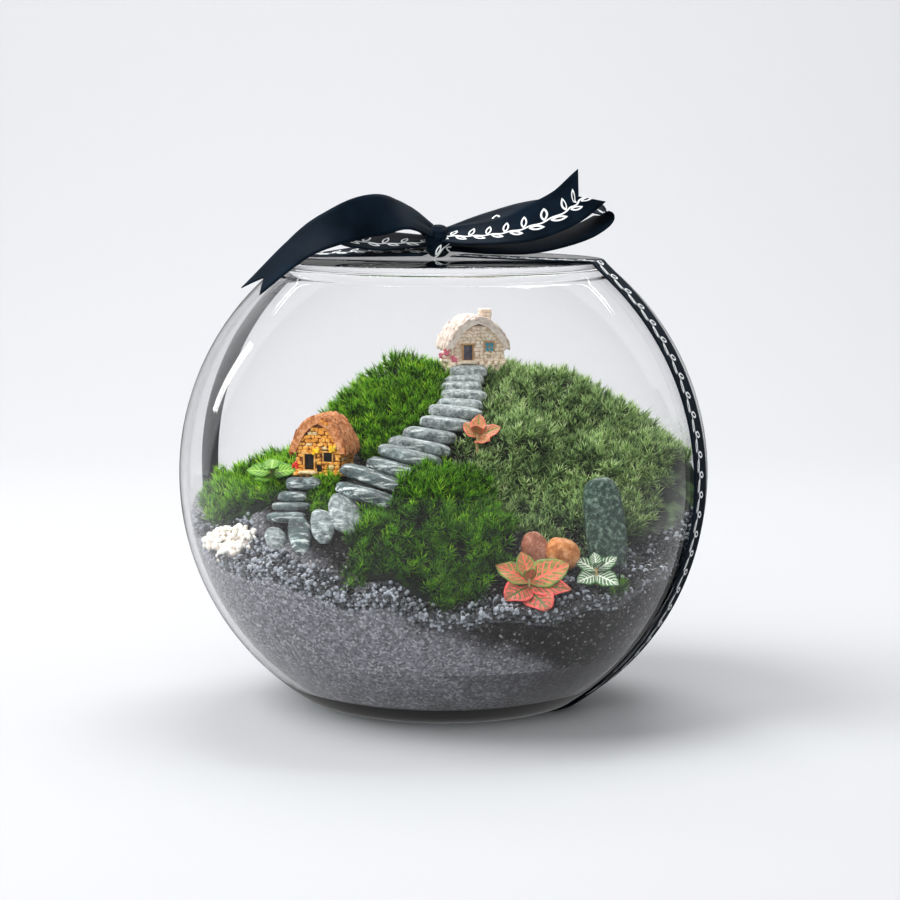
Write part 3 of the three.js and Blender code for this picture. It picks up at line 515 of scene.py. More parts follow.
for row in range(int(130 / step)):
    for column in range(int(250 / step)):
        x = -124 + (column + 0.5 * (row % 2)) * step + chance.uniform(-0.5, 0.5)
        y = -122 + row * step * 0.87 + chance.uniform(-0.5, 0.5)
        if y > edgeY(x) + 2.0 * noise.noise(Vector((x * 0.12, y * 0.12, 0))) or math.hypot(x, y) > 119.5:
            continue
        z = ground(x, y)
        if math.hypot(x, y) > fillRadius(z) + 1:
            continue
        addGrain(bm, (x, y, z - 0.1 + chance.uniform(-0.5, 0.6)), gravel["grain"] * chance.uniform(0.75, 1.15))
onTop = len(bm.verts)
for i in range(210):  # the grains that show through the glass under the surface
    angle = math.radians(-165 + 178 * i / 209)
    radius, topZ = glassContact(angle)
    x, y = radius * math.cos(angle), radius * math.sin(angle)
    if y > edgeY(x) + 3:
        continue
    for level in range(3):
        z = topZ - 1.2 - level * 1.9 + chance.uniform(-0.5, 0.5)
        reach = fillRadius(z) - 1.2
        addGrain(bm, (reach * math.cos(angle), reach * math.sin(angle), z), gravel["grain"] * chance.uniform(0.75, 1.1))
topGravel = finishPiece("topGravel", bm, [blackQuartz], ["top_gravel"])
print("gravel made:", onTop // grainVerts, "grains on top", len(topGravel.data.polygons), "faces")


# Stones

stairShape = {"depth": 15, "thickness": 6.2}
stairRows = [  # x, y, top, length, roll, yaw
    (-34, -63, 110.5, 28, 15, -14), (-30, -54, 116.5, 32.5, 17, -14), (-22, -45.5, 120, 26, 15, -12),
    (-15.5, -37, 125, 30, 12, -10), (-11, -28, 128.5, 29, 10, -8), (-6, -19, 132.5, 25.5, 8, -6),
    (1, -10, 137, 25, 6, -4), (5, -1, 141.5, 27, 5, 0), (7.5, 8, 144, 21.5, 3, 2), (9.5, 16.5, 147.5, 21, 2, 3),
    (8.5, 25, 150.5, 20.5, 0, 0), (10, 33, 153, 20, -2, 2), (12, 41, 157, 18.5, 0, 0),
]
stones = [{
    "node": f"stair_stone_{i + 1:02d}", "size": (length, stairShape["depth"], stairShape["thickness"]),
    "at": (x, y + stairShape["depth"] / 2 - 4, top - stairShape["thickness"] / 2), "turn": (0, roll, yaw),
    "seed": 20 + i, "square": 0.62, "pale": 0.1 + 0.1 * i} for i, (x, y, top, length, roll, yaw) in enumerate(stairRows)]
stones += [
    {"node": "stair_slab", "size": (15, 25, 6), "at": (-44, -68, 100), "turn": (40, 12, 18), "seed": 41,
     "pale": 0.85, "square": 0.8},
    {"node": "flagstone_1", "size": (10.5, 20, 5.5), "at": (-53.5, -76.5, 96), "turn": (40, 8, 16), "seed": 42,
     "pale": 0.5, "square": 0.86},
    {"node": "flagstone_2", "size": (11, 22, 5.5), "at": (-63.7, -73.2, 91.4), "turn": (42, 5, 14), "seed": 43,
     "pale": 0.15, "square": 0.86},
    {"node": "flagstone_3", "size": (9.5, 13, 5), "at": (-75, -67, 88.5), "turn": (42, 0, 10), "seed": 44, "pale": 0.8,
     "square": 0.86},
]
sideRows = [(-64.5, -40.5, 113, 16, 9, 6), (-69, -47, 107.3, 13, 8, 4.5), (-69.5, -53, 103, 17.5, 9, 3.6),
            (-70.5, -59, 99.5, 17, 10, 4.5)]
stones += [{"node": f"side_step_{i + 1}", "size": (length, depth, thick), "at": (x, y, top - thick / 2),
            "turn": (0, 0, -4), "seed": 50 + i, "pale": 0.25} for i, (x, y, top, length, depth, thick) in enumerate(sideRows)]
standingStone = {"node": "standing_stone", "size": (18, 13, 44), "at": (73, -57, 93), "turn": (-6, -7, 0), "seed": 61,
                 "square": 0.62, "dent": 0.07}
orangePebble = {"node": "pebble_orange", "size": (16, 13, 14.5), "at": (53, -71, 82.5), "turn": (0, 12, 0), "seed": 62,
                "square": 0.9}
brownPebble = {"node": "pebble_brown", "size": (11.5, 11, 19), "at": (41.5, -70.5, 83), "turn": (0, -16, 0), "seed": 63,
               "square": 0.85}

# water-worn slate: dark blue-green, matt, with pale streaks along the stone and small knocks
wornSlate, tree, shader, place = newMaterial("wornSlate", {"Roughness": 0.6})
paleness = addNode(tree, "ShaderNodeAttribute", attribute_name="pale")
base = addNode(tree, "ShaderNodeTexNoise", {"Vector": place, "Scale": every(7), "Detail": 8.0, "Roughness": 0.62})
slates = addNode(tree, "ShaderNodeValToRGB", {0: base.outputs["Fac"]}, stops=[
    (0.3, "#0a1111"), (0.44, "#1b2a2b"), (0.57, "#46595a"), (0.7, "#b0bcbd")])
stretch = addNode(tree, "ShaderNodeMapping", {"Vector": place, "Scale": (0.16, 1.0, 1.0)})
streak = addNode(tree, "ShaderNodeTexNoise", {"Vector": stretch.outputs[0], "Scale": every(2.6), "Detail": 5.0,
                                              "Roughness": 0.7})
streakMask = addNode(tree, "ShaderNodeMapRange", {"Value": streak.outputs["Fac"], "From Min": 0.53, "From Max": 0.62})
streaked = addNode(tree, "ShaderNodeMix", {0: streakMask.outputs[0], 6: slates.outputs[0], 7: hexColor("#dfe5e4")},
                   data_type="RGBA")
mottle = addNode(tree, "ShaderNodeTexNoise", {"Vector": place, "Scale": every(2.2), "Detail": 6.0, "Roughness": 0.7})
mottleTone = addNode(tree, "ShaderNodeValToRGB", {0: mottle.outputs["Fac"]}, stops=[
    (0.3, "#3f4747"), (0.46, "#8b9394"), (0.64, "#dfe2e3")])
paleShare = addNode(tree, "ShaderNodeMath", {0: paleness.outputs["Fac"], 1: 0.75}, operation="MULTIPLY")
slateColor = addNode(tree, "ShaderNodeMix", {0: paleShare.outputs[0], 6: streaked.outputs[2], 7: mottleTone.outputs[0]},
                     data_type="RGBA")
tree.links.new(slateColor.outputs[2], shader.inputs["Base Color"])
slateShine = addNode(tree, "ShaderNodeMapRange", {"Value": base.outputs["Fac"], "To Min": 0.4, "To Max": 0.75})
tree.links.new(slateShine.outputs[0], shader.inputs["Roughness"])
relief = addNode(tree, "ShaderNodeMath", {0: mottle.outputs["Fac"], 1: streak.outputs["Fac"]}, operation="ADD")
bump = addNode(tree, "ShaderNodeBump", {"Height": relief.outputs[0], "Strength": 0.6, "Distance": 0.5 * mm})
tree.links.new(bump.outputs[0], shader.inputs["Normal"])


def spottedStone(name, low, middle, high, size, rough):
    # tumbled stone with fine dark and pale spots
    material, tree, shader, place = newMaterial(name, {"Roughness": rough})
    cloud = addNode(tree, "ShaderNodeTexNoise", {"Vector": place, "Scale": every(size), "Detail": 7.0, "Roughness": 0.65})
    tones = addNode(tree, "ShaderNodeValToRGB", {0: cloud.outputs["Fac"]}, stops=[
        (0.3, low), (0.5, middle), (0.72, high)])
    spots = addNode(tree, "ShaderNodeTexVoronoi", {"Vector": place, "Scale": every(1.3)})
    spotMask = addNode(tree, "ShaderNodeMapRange", {"Value": spots.outputs["Distance"], "From Min": 0.12,
                                                    "From Max": 0.3, "To Min": 0.55, "To Max": 0.0})
    spotted = addNode(tree, "ShaderNodeMix", {0: spotMask.outputs[0], 6: tones.outputs[0], 7: hexColor(low)},
                      data_type="RGBA")
    tree.links.new(spotted.outputs[2], shader.inputs["Base Color"])
    bump = addNode(tree, "ShaderNodeBump", {"Height": cloud.outputs["Fac"], "Strength": 0.5, "Distance": 0.5 * mm})
    tree.links.new(bump.outputs[0], shader.inputs["Normal"])
    return material


greenSerpentine = spottedStone("tumbledSerpentine", "#131f1c", "#344840", "#8ba091", 2.0, 0.45)
orangeJasper = spottedStone("tumbledJasper", "#8a4a26", "#c47a42", "#e9b88c", 4, 0.55)
brownSandstone = spottedStone("tumbledSandstone", "#6f3f30", "#a4664f", "#d3a08a", 3.5, 0.6)


def stonePiece(stone, material, segments=48, rings=26):
    # a rounded slab whose outline bulges by its seed, its surface dented by noise
    chance = random.Random(stone["seed"])
    square = stone.get("square", 0.62)
    waves = [(1 + int(chance.random() * 3), chance.random() * 6.3, chance.random()) for _ in range(3)]
    size = stone["size"]

    def sharp(value):
        return math.copysign(abs(value) ** square, value)

    def place(t, angle):
        out = max(0, math.sin(t * math.pi)) ** square
        bulge = 1 + 0.055 * sum(a * math.sin(n * angle + phase) * math.sin(t * math.pi) for n, phase, a in waves)
        point = Vector((size[0] / 2 * sharp(math.cos(angle)) * out * bulge,
                        size[1] / 2 * sharp(math.sin(angle)) * out * bulge, size[2] / 2 * sharp(math.cos(t * math.pi))))
        seedShift = Vector((stone["seed"] * 1.7, 0, 0))
        dent = 0.5 * noise.noise(point / 6 + seedShift) + 0.25 * noise.noise(point / 2 + seedShift)
        return point * (1 + dent * stone.get("dent", 0.16))

    bm = bmesh.new()
    layer = bm.verts.layers.float.new("pale")
    sphereForm(bm, segments, rings, place)
    for vert in bm.verts:
        vert[layer] = stone.get("pale", 0)
    bmesh.ops.transform(bm, matrix=Matrix.Translation(Vector(stone["at"]) * mm) @ turned(stone["turn"]), verts=bm.verts)
    words = stone["node"].split("_")
    name = "worn" + "".join(word.capitalize() for word in words)
    return finishPiece(name, bm, [material], [stone["node"]])


for stone in stones:
    stonePiece(stone, wornSlate)
stonePiece(standingStone, greenSerpentine, 56, 48)
stonePiece(orangePebble, orangeJasper)
stonePiece(brownPebble, brownSandstone)
print("stones made")


# Cottages: small cast resin figures, painted

cottages = [
    {"node": "cottage_lower", "at": (-55.5, -20, 113.5), "yaw": -16, "width": 21.5, "depth": 17, "wall": 13.5, "roof": 12,
     "overhang": 3, "roofThick": 3.6, "chimney": 0, "seed": 71, "clear": 2.2, "footing": 1, "slot": "painted_resin"},
    {"node": "cottage_upper", "at": (14.6, 58.5, 158), "yaw": 14, "width": 26, "depth": 19, "wall": 11, "roof": 10.5,
     "overhang": 3, "roofThick": 3.5, "chimney": 6, "seed": 77, "clear": -1.2, "footing": 3, "slot": "painted_resin_pale"},
]


def paintedResin(name, low, middle, high, size=2.4):
    # matt paint brushed over cast resin, dark in the hollows and worn pale on what stands out
    material, tree, shader, place = newMaterial(name, {"Roughness": 0.7})
    patch = addNode(tree, "ShaderNodeTexNoise", {"Vector": place, "Scale": every(size), "Detail": 5.0, "Roughness": 0.7})
    tones = addNode(tree, "ShaderNodeValToRGB", {0: patch.outputs["Fac"]}, stops=[
        (0.3, low), (0.5, middle), (0.7, high)])
    tree.links.new(tones.outputs[0], shader.inputs["Base Color"])
    bump = addNode(tree, "ShaderNodeBump", {"Height": patch.outputs["Fac"], "Strength": 0.4, "Distance": 0.25 * mm})
    tree.links.new(bump.outputs[0], shader.inputs["Normal"])
    return material


paints = {
    "cottage_lower": [
        paintedResin("mortarPaint", "#4a2a16", "#70401f", "#9c622c"),
        paintedResin("ochreStonePaint", "#c07428", "#e89c3e", "#fbd27c"),
        paintedResin("shinglePaint", "#86472a", "#cb8250", "#f2bd93"),
        # near-black for the lower cottage's open doorway, window and cellar hole: painted shade
        paintedResin("openingShadePaint", "#070606", "#131010", "#2a2320"),
        paintedResin("framePaint", "#9a5d25", "#d99a4a", "#f0c886"),
        paintedResin("yellowPaint", "#d79a08", "#f5c21c", "#ffe063"),
        paintedResin("redPaint", "#a81912", "#d83324", "#f0685a"),
        paintedResin("stepPaint", "#b48a54", "#dcc08d", "#f3e4bd"),
        paintedResin("underShinglePaint", "#5c2e18", "#a8602c", "#e29a50"),
    ],
    "cottage_upper": [
        # the upper cottage's pale paints, with mortar, wall stones and shingles lightened further as painted light
        # against the shade at the back of the hill
        paintedResin("paleMortarPaintAndLight", "#c4a794", "#dcc2b0", "#ecd9ca"),
        paintedResin("sandStonePaintAndLight", "#f0d3b8", "#fae6d4", "#fff7ec"),
        paintedResin("greyShinglePaintAndLight", "#c8b2aa", "#ebdad1", "#fff4ec"),
        paintedResin("darkDoorPaint", "#3f3c48", "#585563", "#75727f"),
        paintedResin("oakFramePaint", "#9c7450", "#bf9669", "#d9b88e"),
        paintedResin("bluePanePaint", "#1f7fa6", "#3f9fc4", "#7cc4dc"),
        paintedResin("pinkPaint", "#c74a63", "#e0748a", "#f0a3b2"),
        paintedResin("sandStepPaint", "#cbb69d", "#e2d0b8", "#f3e6d4"),
        paintedResin("paleUnderShinglePaint", "#a88e82", "#d0b7aa", "#efdccf"),
    ],
}
mortar, wallStone, shingle, doorPaintAndOpeningShade, frameTrim, accent, petal, stepStone, underShingle = range(9)


def lumpMesh(seed, size, rough=0.2, cuts=2):
    chance = random.Random(seed)
    bm = bmesh.new()
    bmesh.ops.create_cube(bm, size=1)
    bmesh.ops.bevel(bm, geom=bm.edges[:], offset=0.27, affect="EDGES", segments=cuts, profile=0.5, material=-1)
    for vert in bm.verts:
        vert.co *= 1 + rough * (noise.noise(vert.co * 2.2 + Vector((seed * 3.1, 0, 0))))
    bmesh.ops.scale(bm, vec=[s * mm for s in size], verts=bm.verts)
    return bm


def addBox(bm, size, at, paint, bevel=0.25, seed=1, rough=0.0):
    box = lumpMesh(seed, (1 / mm, 1 / mm, 1 / mm), rough, 2) if rough else bmesh.new()
    if not rough:
        bmesh.ops.create_cube(box, size=1)
    bmesh.ops.scale(box, vec=[s * mm for s in size], verts=box.verts)
    if not rough:
        bmesh.ops.bevel(box, geom=box.edges[:], offset=bevel * mm, affect="EDGES", segments=2, profile=0.5, material=-1)
    for face in box.faces:
        face.material_index = paint
    mesh = meshOf(box, "box")
    addCopy(bm, mesh, Matrix.Translation(Vector(at) * mm))


def gableCurve(c, steps=14):
    # half of the gable's outline from the eaves to the ridge, as (half width, height)
    half, eaves, ridge = c["width"] / 2, c["wall"], c["wall"] + c["roof"] - c["roofThick"]
    points = []
    for i in range(steps + 1):
        t = i / steps
        points.append(((1 - t) ** 2 * half + 2 * (1 - t) * t * 0.56 * half, (1 - t) ** 2 * eaves + (1 - (1 - t) ** 2) * ridge))
    return points


def halfWidthAt(c, z):
    if z <= c["wall"]:
        return c["width"] / 2
    curve = gableCurve(c)
    for (w0, z0), (w1, z1) in zip(curve, curve[1:]):
        if z <= z1:
            return w0 + (w1 - w0) * (z - z0) / (z1 - z0)
    return 0


def wallCore(c):
    outline = gableCurve(c)
    foot = 1.9 - 1.9 * c["footing"]
    ring = ([(c["width"] / 2, foot)] + outline + [(-w, z) for w, z in outline[::-1][1:]]
            + [(-c["width"] / 2, foot)])
    bm = bmesh.new()
    verts = [bm.verts.new((x * mm, -c["depth"] / 2 * mm, z * mm)) for x, z in ring]
    face = bm.faces.new(verts)
    grown = bmesh.ops.extrude_face_region(bm, geom=[face])
    bmesh.ops.translate(bm, vec=(0, c["depth"] * mm, 0), verts=[g for g in grown["geom"] if isinstance(g, bmesh.types.BMVert)])
    bmesh.ops.recalc_face_normals(bm, faces=bm.faces)
    return bm


def roofOutline(c, steps=12):
    half, eaves, ridge = c["width"] / 2 + c["overhang"], c["wall"] - 4, c["wall"] + c["roof"]
    return [((1 - t) ** 2 * half + 2 * (1 - t) * t * 0.62 * half, (1 - t) ** 2 * eaves + (1 - (1 - t) ** 2) * ridge)
            for t in [i / steps for i in range(steps + 1)]]


def roofShell(c):
    outer = roofOutline(c)
    inner = [(max(0, w - c["roofThick"] * 0.62), z - c["roofThick"] * 0.7) for w, z in outer]
    inner[0] = (outer[0][0] - 2.6, outer[0][1] - 0.4)
    inner[-1] = (0, inner[-1][1])
    ring = outer + [(-w, z) for w, z in outer[::-1][1:]] + [(-w, z) for w, z in inner] + inner[::-1][1:]
    bm = bmesh.new()
    length = c["depth"] + c["overhang"]
    verts = [bm.verts.new((x * mm, -length / 2 * mm, z * mm)) for x, z in ring]
    face = bm.faces.new(verts)
    grown = bmesh.ops.extrude_face_region(bm, geom=[face])
    bmesh.ops.translate(bm, vec=(0, length * mm, 0), verts=[g for g in grown["geom"] if isinstance(g, bmesh.types.BMVert)])
    bmesh.ops.recalc_face_normals(bm, faces=bm.faces)
    return bm


def cottagePiece(c):
    chance = random.Random(c["seed"])
    whole = bmesh.new()
    core = wallCore(c)
    for face in core.faces:
        face.material_index = mortar
    addCopy(whole, meshOf(core, "core"), Matrix.Identity(4))
    shell = roofShell(c)
    for face in shell.faces:
        face.material_index = shingle
    addCopy(whole, meshOf(shell, "shell"), Matrix.Identity(4))
    front = -c["depth"] / 2
    openings = [(-c["width"] * 0.2, 1, 5.2, 7.6), (c["width"] * 0.22, 5, 4.6, 4.6)]

    def lump(kind, size, matrix, seed, rough=0.25):
        part = lumpMesh(seed, size, rough)
        for face in part.faces:
            face.material_index = kind
        addCopy(whole, meshOf(part, "lump"), matrix)

    # wall stones in courses, on the gables and the two long walls
    rowHeight = 1.75
    topZ = c["wall"] + c["roof"] - c["roofThick"] - 1
    for side, (turn, span, away) in enumerate([(0, c["width"], c["depth"] / 2), (180, c["width"], c["depth"] / 2),
                                               (90, c["depth"], c["width"] / 2), (-90, c["depth"], c["width"] / 2)]):
        row = 0
        z = 0.9
        while z < (topZ if side < 2 else c["wall"] - 1):
            half = halfWidthAt(c, z + 0.8) if side < 2 else span / 2
            x = -half + chance.uniform(0, 1.2)
            while x < half - 0.5:
                width = chance.uniform(1.4, 3.6)
                middle = x + width / 2
                x += width + 0.15
                if side == 0 and any(abs(middle - ox) < ow / 2 + width * 0.4 and oz - 0.6 < z < oz + oh + 0.5
                                     for ox, oz, ow, oh in openings):
                    continue
                size = (width * 0.96, 1.5, rowHeight * chance.uniform(0.75, 1.12))
                spot = Vector((min(half - 0.4, middle), -away - chance.uniform(-0.1, 0.25), z + chance.uniform(-0.2, 0.2))) * mm
                paint = stepStone if chance.random() < 0.14 else wallStone
                lump(paint, size, Matrix.Rotation(math.radians(turn), 4, "Z") @ Matrix.Translation(spot)
                     @ turned((0, chance.uniform(-14, 14), 0)), chance.randrange(9999), 0.4)
            z += rowHeight
            row += 1
    # shingles over the roof, row on row from the eaves up, on both slopes
    outline = roofOutline(c, 9)
    length = c["depth"] + c["overhang"]
    for mirror in (1, -1):
        for (w0, z0), (w1, z1) in zip(outline, outline[1:]):
            slope = math.atan2(z1 - z0, w0 - w1)
            y = -length / 2 + chance.uniform(-0.5, 0.4)
            while y < length / 2 + 0.3:
                wide = chance.uniform(0.8, 1.7)
                lift = chance.uniform(-0.25, 0.75)
                spot = Vector((mirror * (w0 + w1) / 2, y + wide / 2, (z0 + z1) / 2 + lift)) * mm
                long = math.hypot(w1 - w0, z1 - z0) * chance.uniform(1.1, 1.9)
                paint = shingle if lift > 0.05 or chance.random() < 0.4 else underShingle
                lump(paint, (long, wide, 1.2), Matrix.Translation(spot) @ Matrix.Rotation(mirror * slope, 4, "Y")
                     @ turned((chance.uniform(-18, 18), 8 * mirror, chance.uniform(-20, 20))), chance.randrange(9999), 0.5)
                y += wide * 0.8
    # door, window and their frames; on the lower cottage the open doorway, window and cellar hole are near-black slabs,
    # painted shade
    doorX, doorZ, doorW, doorH = openings[0]
    addBox(whole, (doorW, 0.5, doorH), (doorX, front - 0.1, doorZ + doorH / 2), doorPaintAndOpeningShade, 0.1)
    for i in range(3 if c["chimney"] else 0):  # the upper door is boarded; the lower one is an open doorway, its near-black slab painted shade
        addBox(whole, (doorW / 3 - 0.35, 0.4, doorH - 0.7), (doorX + (i - 1) * doorW / 3, front - 0.4, doorZ + doorH / 2),
               doorPaintAndOpeningShade, 0.12)
    for x, z, sx, sz in [(doorX - doorW / 2, doorZ + doorH / 2, 0.8, doorH + 1), (doorX + doorW / 2, doorZ + doorH / 2, 0.8, doorH + 1),
                         (doorX, doorZ + doorH + 0.4, doorW + 2.4, 1.0), (doorX, doorZ - 0.1, doorW + 1.2, 0.8)]:
        addBox(whole, (sx, 1.5, sz), (x, front - 0.3, z), frameTrim, 0.25)
    paneX, paneZ, paneW, paneH = openings[1]
    # the lower cottage's window opening is a near-black slab: painted shade
    addBox(whole, (paneW, 0.5, paneH), (paneX, front - 0.1, paneZ + paneH / 2), accent if c["chimney"] else doorPaintAndOpeningShade, 0.1)
    bars = [(paneX, paneZ + paneH / 2, 0.35, paneH), (paneX, paneZ + paneH / 2, paneW, 0.35)] if c["chimney"] else []
    for x, z, sx, sz in [(paneX - paneW / 2, paneZ + paneH / 2, 0.6, paneH + 1), (paneX + paneW / 2, paneZ + paneH / 2, 0.6, paneH + 1),
                         (paneX, paneZ + paneH + 0.2, paneW + 1.2, 0.7), (paneX, paneZ - 0.2, paneW + 1.4, 0.8)] + bars:
        addBox(whole, (sx, 1.1, sz), (x, front - 0.25, z), frameTrim, 0.15)
    # a side window: grey paint on the upper cottage, a near-black slab of painted shade on the lower
    addBox(whole, (0.5, 4, 4), (c["width"] / 2 + 0.1, 1, 7), doorPaintAndOpeningShade, 0.1)
    for y, z, sy, sz in [(-1, 7, 0.6, 5), (3, 7, 0.6, 5), (1, 9.2, 5, 0.6), (1, 4.8, 5, 0.7)]:
        addBox(whole, (1.2, sy, sz), (c["width"] / 2 + 0.2, y, z), frameTrim, 0.15)
    # doorstep and the rocky footing
    lump(stepStone, (9, 5, 1.7), Matrix.Translation(Vector((doorX, front - 2, 0.2)) * mm), 11, 0.2)
    count = 30
    for i in range(count):
        angle = 2 * math.pi * i / count
        edgeX = max(-1, min(1, 1.35 * math.cos(angle))) * (c["width"] / 2 + 0.7)
        edgeDepth = max(-1, min(1, 1.35 * math.sin(angle))) * (c["depth"] / 2 + 0.7)
        lump(wallStone, (chance.uniform(2.6, 3.8), chance.uniform(2, 3), chance.uniform(1.6, 2.6)),
             Matrix.Translation(Vector((edgeX, edgeDepth, -0.7)) * mm) @ turned((0, 0, chance.uniform(0, 180))), i + 40)
    for course in range(1, c["footing"]):  # lower courses, down to the soil that falls away round the house
        for i in range(count):
            angle = 2 * math.pi * (i + 0.5 * course) / count
            edgeX = max(-1, min(1, 1.35 * math.cos(angle))) * (c["width"] / 2 + 0.4)
            edgeDepth = max(-1, min(1, 1.35 * math.sin(angle))) * (c["depth"] / 2 + 0.4)
            lump(wallStone, (chance.uniform(3.2, 4.4), chance.uniform(2, 3), chance.uniform(2.2, 2.9)),
                 Matrix.Translation(Vector((edgeX, edgeDepth, -0.7 - 1.9 * course)) * mm)
                 @ turned((0, 0, chance.uniform(0, 180))), i + 80)
    # flowers: round heads in small bunches
    bunches = [(doorX + doorW / 2 + 0.8, front - 0.9, doorZ + doorH + 1.6, accent), (paneX + paneW / 2 + 0.2, front - 0.9,
               paneZ + paneH + 1.6, accent), (-c["width"] / 2 - 0.6, front - 0.3, 3.4, petal)]
    if c["chimney"]:
        bunches = [(-c["width"] / 2 - 3.4, front - 0.2, 5.4, petal), (-c["width"] / 2 + 0.4, front - 0.8, 2.0, petal),
                   (-c["width"] / 2 - 4.4, front + 2.2, 3.0, petal)]
    for x, y, z, paint in bunches:
        for i in range(10):
            spot = Vector((x + chance.uniform(-1.3, 1.3), y - 0.4 + chance.uniform(-0.3, 0.3), z + chance.uniform(-1.2, 1.2)))
            lump(paint, (1.35, 1.1, 1.35), Matrix.Translation(spot * mm), i, 0.3)
    if not c["chimney"]:
        addBox(whole, (2.4, 0.8, 2.8), (doorX + doorW / 2 + 2.4, front - 0.6, 1.9), doorPaintAndOpeningShade, 0.2)  # the cellar hole, a near-black slab of painted shade
        for i in range(16):  # bare stone shows at the apex, where shingles are gone
            spot = Vector((chance.uniform(0.5, 4.6), front + chance.uniform(-1.5, 5), 0))
            spot.z = c["wall"] + c["roof"] - 0.2 - spot.x * 0.55
            lump(wallStone, (1.9, 1.9, 1.3), Matrix.Translation(spot * mm) @ turned((0, 28, 0)), i + 5, 0.35)
    else:
        for i in range(9):  # logs stacked against the left wall
            spot = Vector((-c["width"] / 2 - 2.2 + 0.5 * (i % 3), front + 1.6 + (i % 3) * 2.3, 1.0 + (i // 3) * 1.9))
            lump(wallStone, (5.4, 2.0, 1.8), Matrix.Translation(spot * mm) @ turned((0, chance.uniform(-7, 7), -8)), i + 60, 0.2)
    if c["chimney"]:
        ridge = c["wall"] + c["roof"]
        base = ridge - 6 - c["roofThick"] * 0.5
        addBox(whole, (4.6, 4.6, c["chimney"] + 5), (c["width"] * 0.24, 1, base + (c["chimney"] + 5) / 2), mortar, 0.3)
        for level in range(6):
            for x, y in [(-1.3, -2.1), (1.2, -2.1), (-2.1, 0.2), (2.1, -0.4), (0, 2.1), (2.0, 1.6), (-1.8, 1.8)]:
                lump(wallStone, (2.3, 1.5, 1.7), Matrix.Translation(Vector((c["width"] * 0.24 + x, 1 + y, base + 2 + level * 1.8)) * mm),
                     level * 9 + int(x * 3), 0.3)
        addBox(whole, (5.6, 5.6, 1.2), (c["width"] * 0.24, 1, base + c["chimney"] + 5.4), wallStone, 0.3)
    place = Matrix.Translation(Vector(c["at"]) * mm) @ Matrix.Rotation(math.radians(c["yaw"]), 4, "Z")
    bmesh.ops.transform(whole, matrix=place, verts=whole.verts)
    name = "resin" + "".join(word.capitalize() for word in c["node"].split("_"))
    return finishPiece(name, whole, paints[c["node"]], [c["node"]], sharp=45)


for cottage in cottages:
    cottagePiece(cottage)
print("cottages made")


# Moss: cushions of upright starry shoots over a dark core

mossPads = [  # reach every 30 degrees from +X, counter-clockwise
    {"node": "moss_right_hill", "centre": (66, 8), "thick": 7, "shoots": 2700, "seed": 143, "look": "hill",
     "reach": (56, 56, 62, 66, 56, 46, 42, 46, 58, 54, 56, 56),
     "overgrow": (0.84, 1, 1, 1.05, 1.3, 1.5, 1.6, 1.55, 1.25, 1.15, 0.86, 0.7)},
    {"node": "moss_left_hill", "centre": (-26, 32), "thick": 8, "shoots": 980, "seed": 85, "look": "bright",
     "reach": (28, 30, 40, 46, 44, 38, 32, 30, 34, 40, 32, 26),
     "overgrow": (1.1, 1.25, 1.15, 1, 1, 1, 1, 1, 1, 1, 1, 1.05)},
    {"node": "moss_left_low", "centre": (-86, -6), "thick": 7, "shoots": 620, "seed": 85, "look": "bright",
     "reach": (22, 24, 30, 34, 34, 30, 26, 28, 30, 32, 26, 18)},
    {"node": "moss_front", "centre": (0, -68), "thick": 8, "shoots": 860, "seed": 101, "look": "deep",
     "reach": (26, 30, 36, 34, 30, 28, 38, 46, 34, 28, 27, 25)},
    {"node": "moss_tuft_1", "centre": (-54, -36.5), "thick": 5, "shoots": 34, "seed": 85, "look": "bright", "reach": (5,) * 12},
    {"node": "moss_tuft_2", "centre": (-56.5, -47.5), "thick": 5, "shoots": 42, "seed": 96, "look": "bright", "reach": (6,) * 12},
    {"node": "moss_tuft_3", "centre": (77, -79), "thick": 6, "shoots": 16, "seed": 87, "look": "bright", "reach": (3.6,) * 12},
]
mossShoot = {"length": 8.0, "needles": 14, "needle": 5.4, "width": 0.34, "sunk": 4.4, "kinds": 12, "clump": 13.0}
collar = {"shoots": 150, "width": 4.0, "below": 2.6}
mossHollow = {"at": (6, -81), "radius": 4.5}  # the dark gap between the two front mounds


def mossMaterial(name, deep, low, leafy, tip):
    # sheet moss: dull dark stems, leafy green needles that turn yellow-green at their tips
    material, tree, shader, place = newMaterial(name, {"Roughness": 0.55, "Specular IOR Level": 0.35,
                                                       "Subsurface Weight": 0.0})
    share = addNode(tree, "ShaderNodeAttribute", attribute_name="tip")
    patch = addNode(tree, "ShaderNodeTexNoise", {"Vector": place, "Scale": every(6.5), "Detail": 3.0})
    shifted = addNode(tree, "ShaderNodeMath", {0: patch.outputs["Fac"], 1: 1.2, 2: -0.6}, operation="MULTIPLY_ADD")
    along = addNode(tree, "ShaderNodeMath", {0: share.outputs["Fac"], 1: shifted.outputs[0]}, operation="ADD",
                    use_clamp=True)
    tones = addNode(tree, "ShaderNodeValToRGB", {0: along.outputs[0]}, stops=[
        (0.0, deep), (0.35, low), (0.68, leafy), (1.0, tip)])
    tree.links.new(tones.outputs[0], shader.inputs["Base Color"])
    glow = addNode(tree, "ShaderNodeBsdfTranslucent", {"Color": tones.outputs[0]})
    mixed = addNode(tree, "ShaderNodeMixShader", {0: 0.3, 1: shader.outputs[0], 2: glow.outputs[0]})
    output = next(n for n in tree.nodes if n.type == "OUTPUT_MATERIAL")
    tree.links.new(mixed.outputs[0], output.inputs["Surface"])
    return material


mossLooks = {
    "bright": mossMaterial("brightMoss", "#10190a", "#3a680b", "#72b412", "#bfe63c"),
    "deep": mossMaterial("deepMoss", "#0f170a", "#325c0b", "#62a412", "#aedc34"),
    # the hill's moss is paler and greyer than the others: painted haze over its own green
    "hill": mossMaterial("hillMoss", "#1a2315", "#678550", "#aece7c", "#eef8c4"),
}


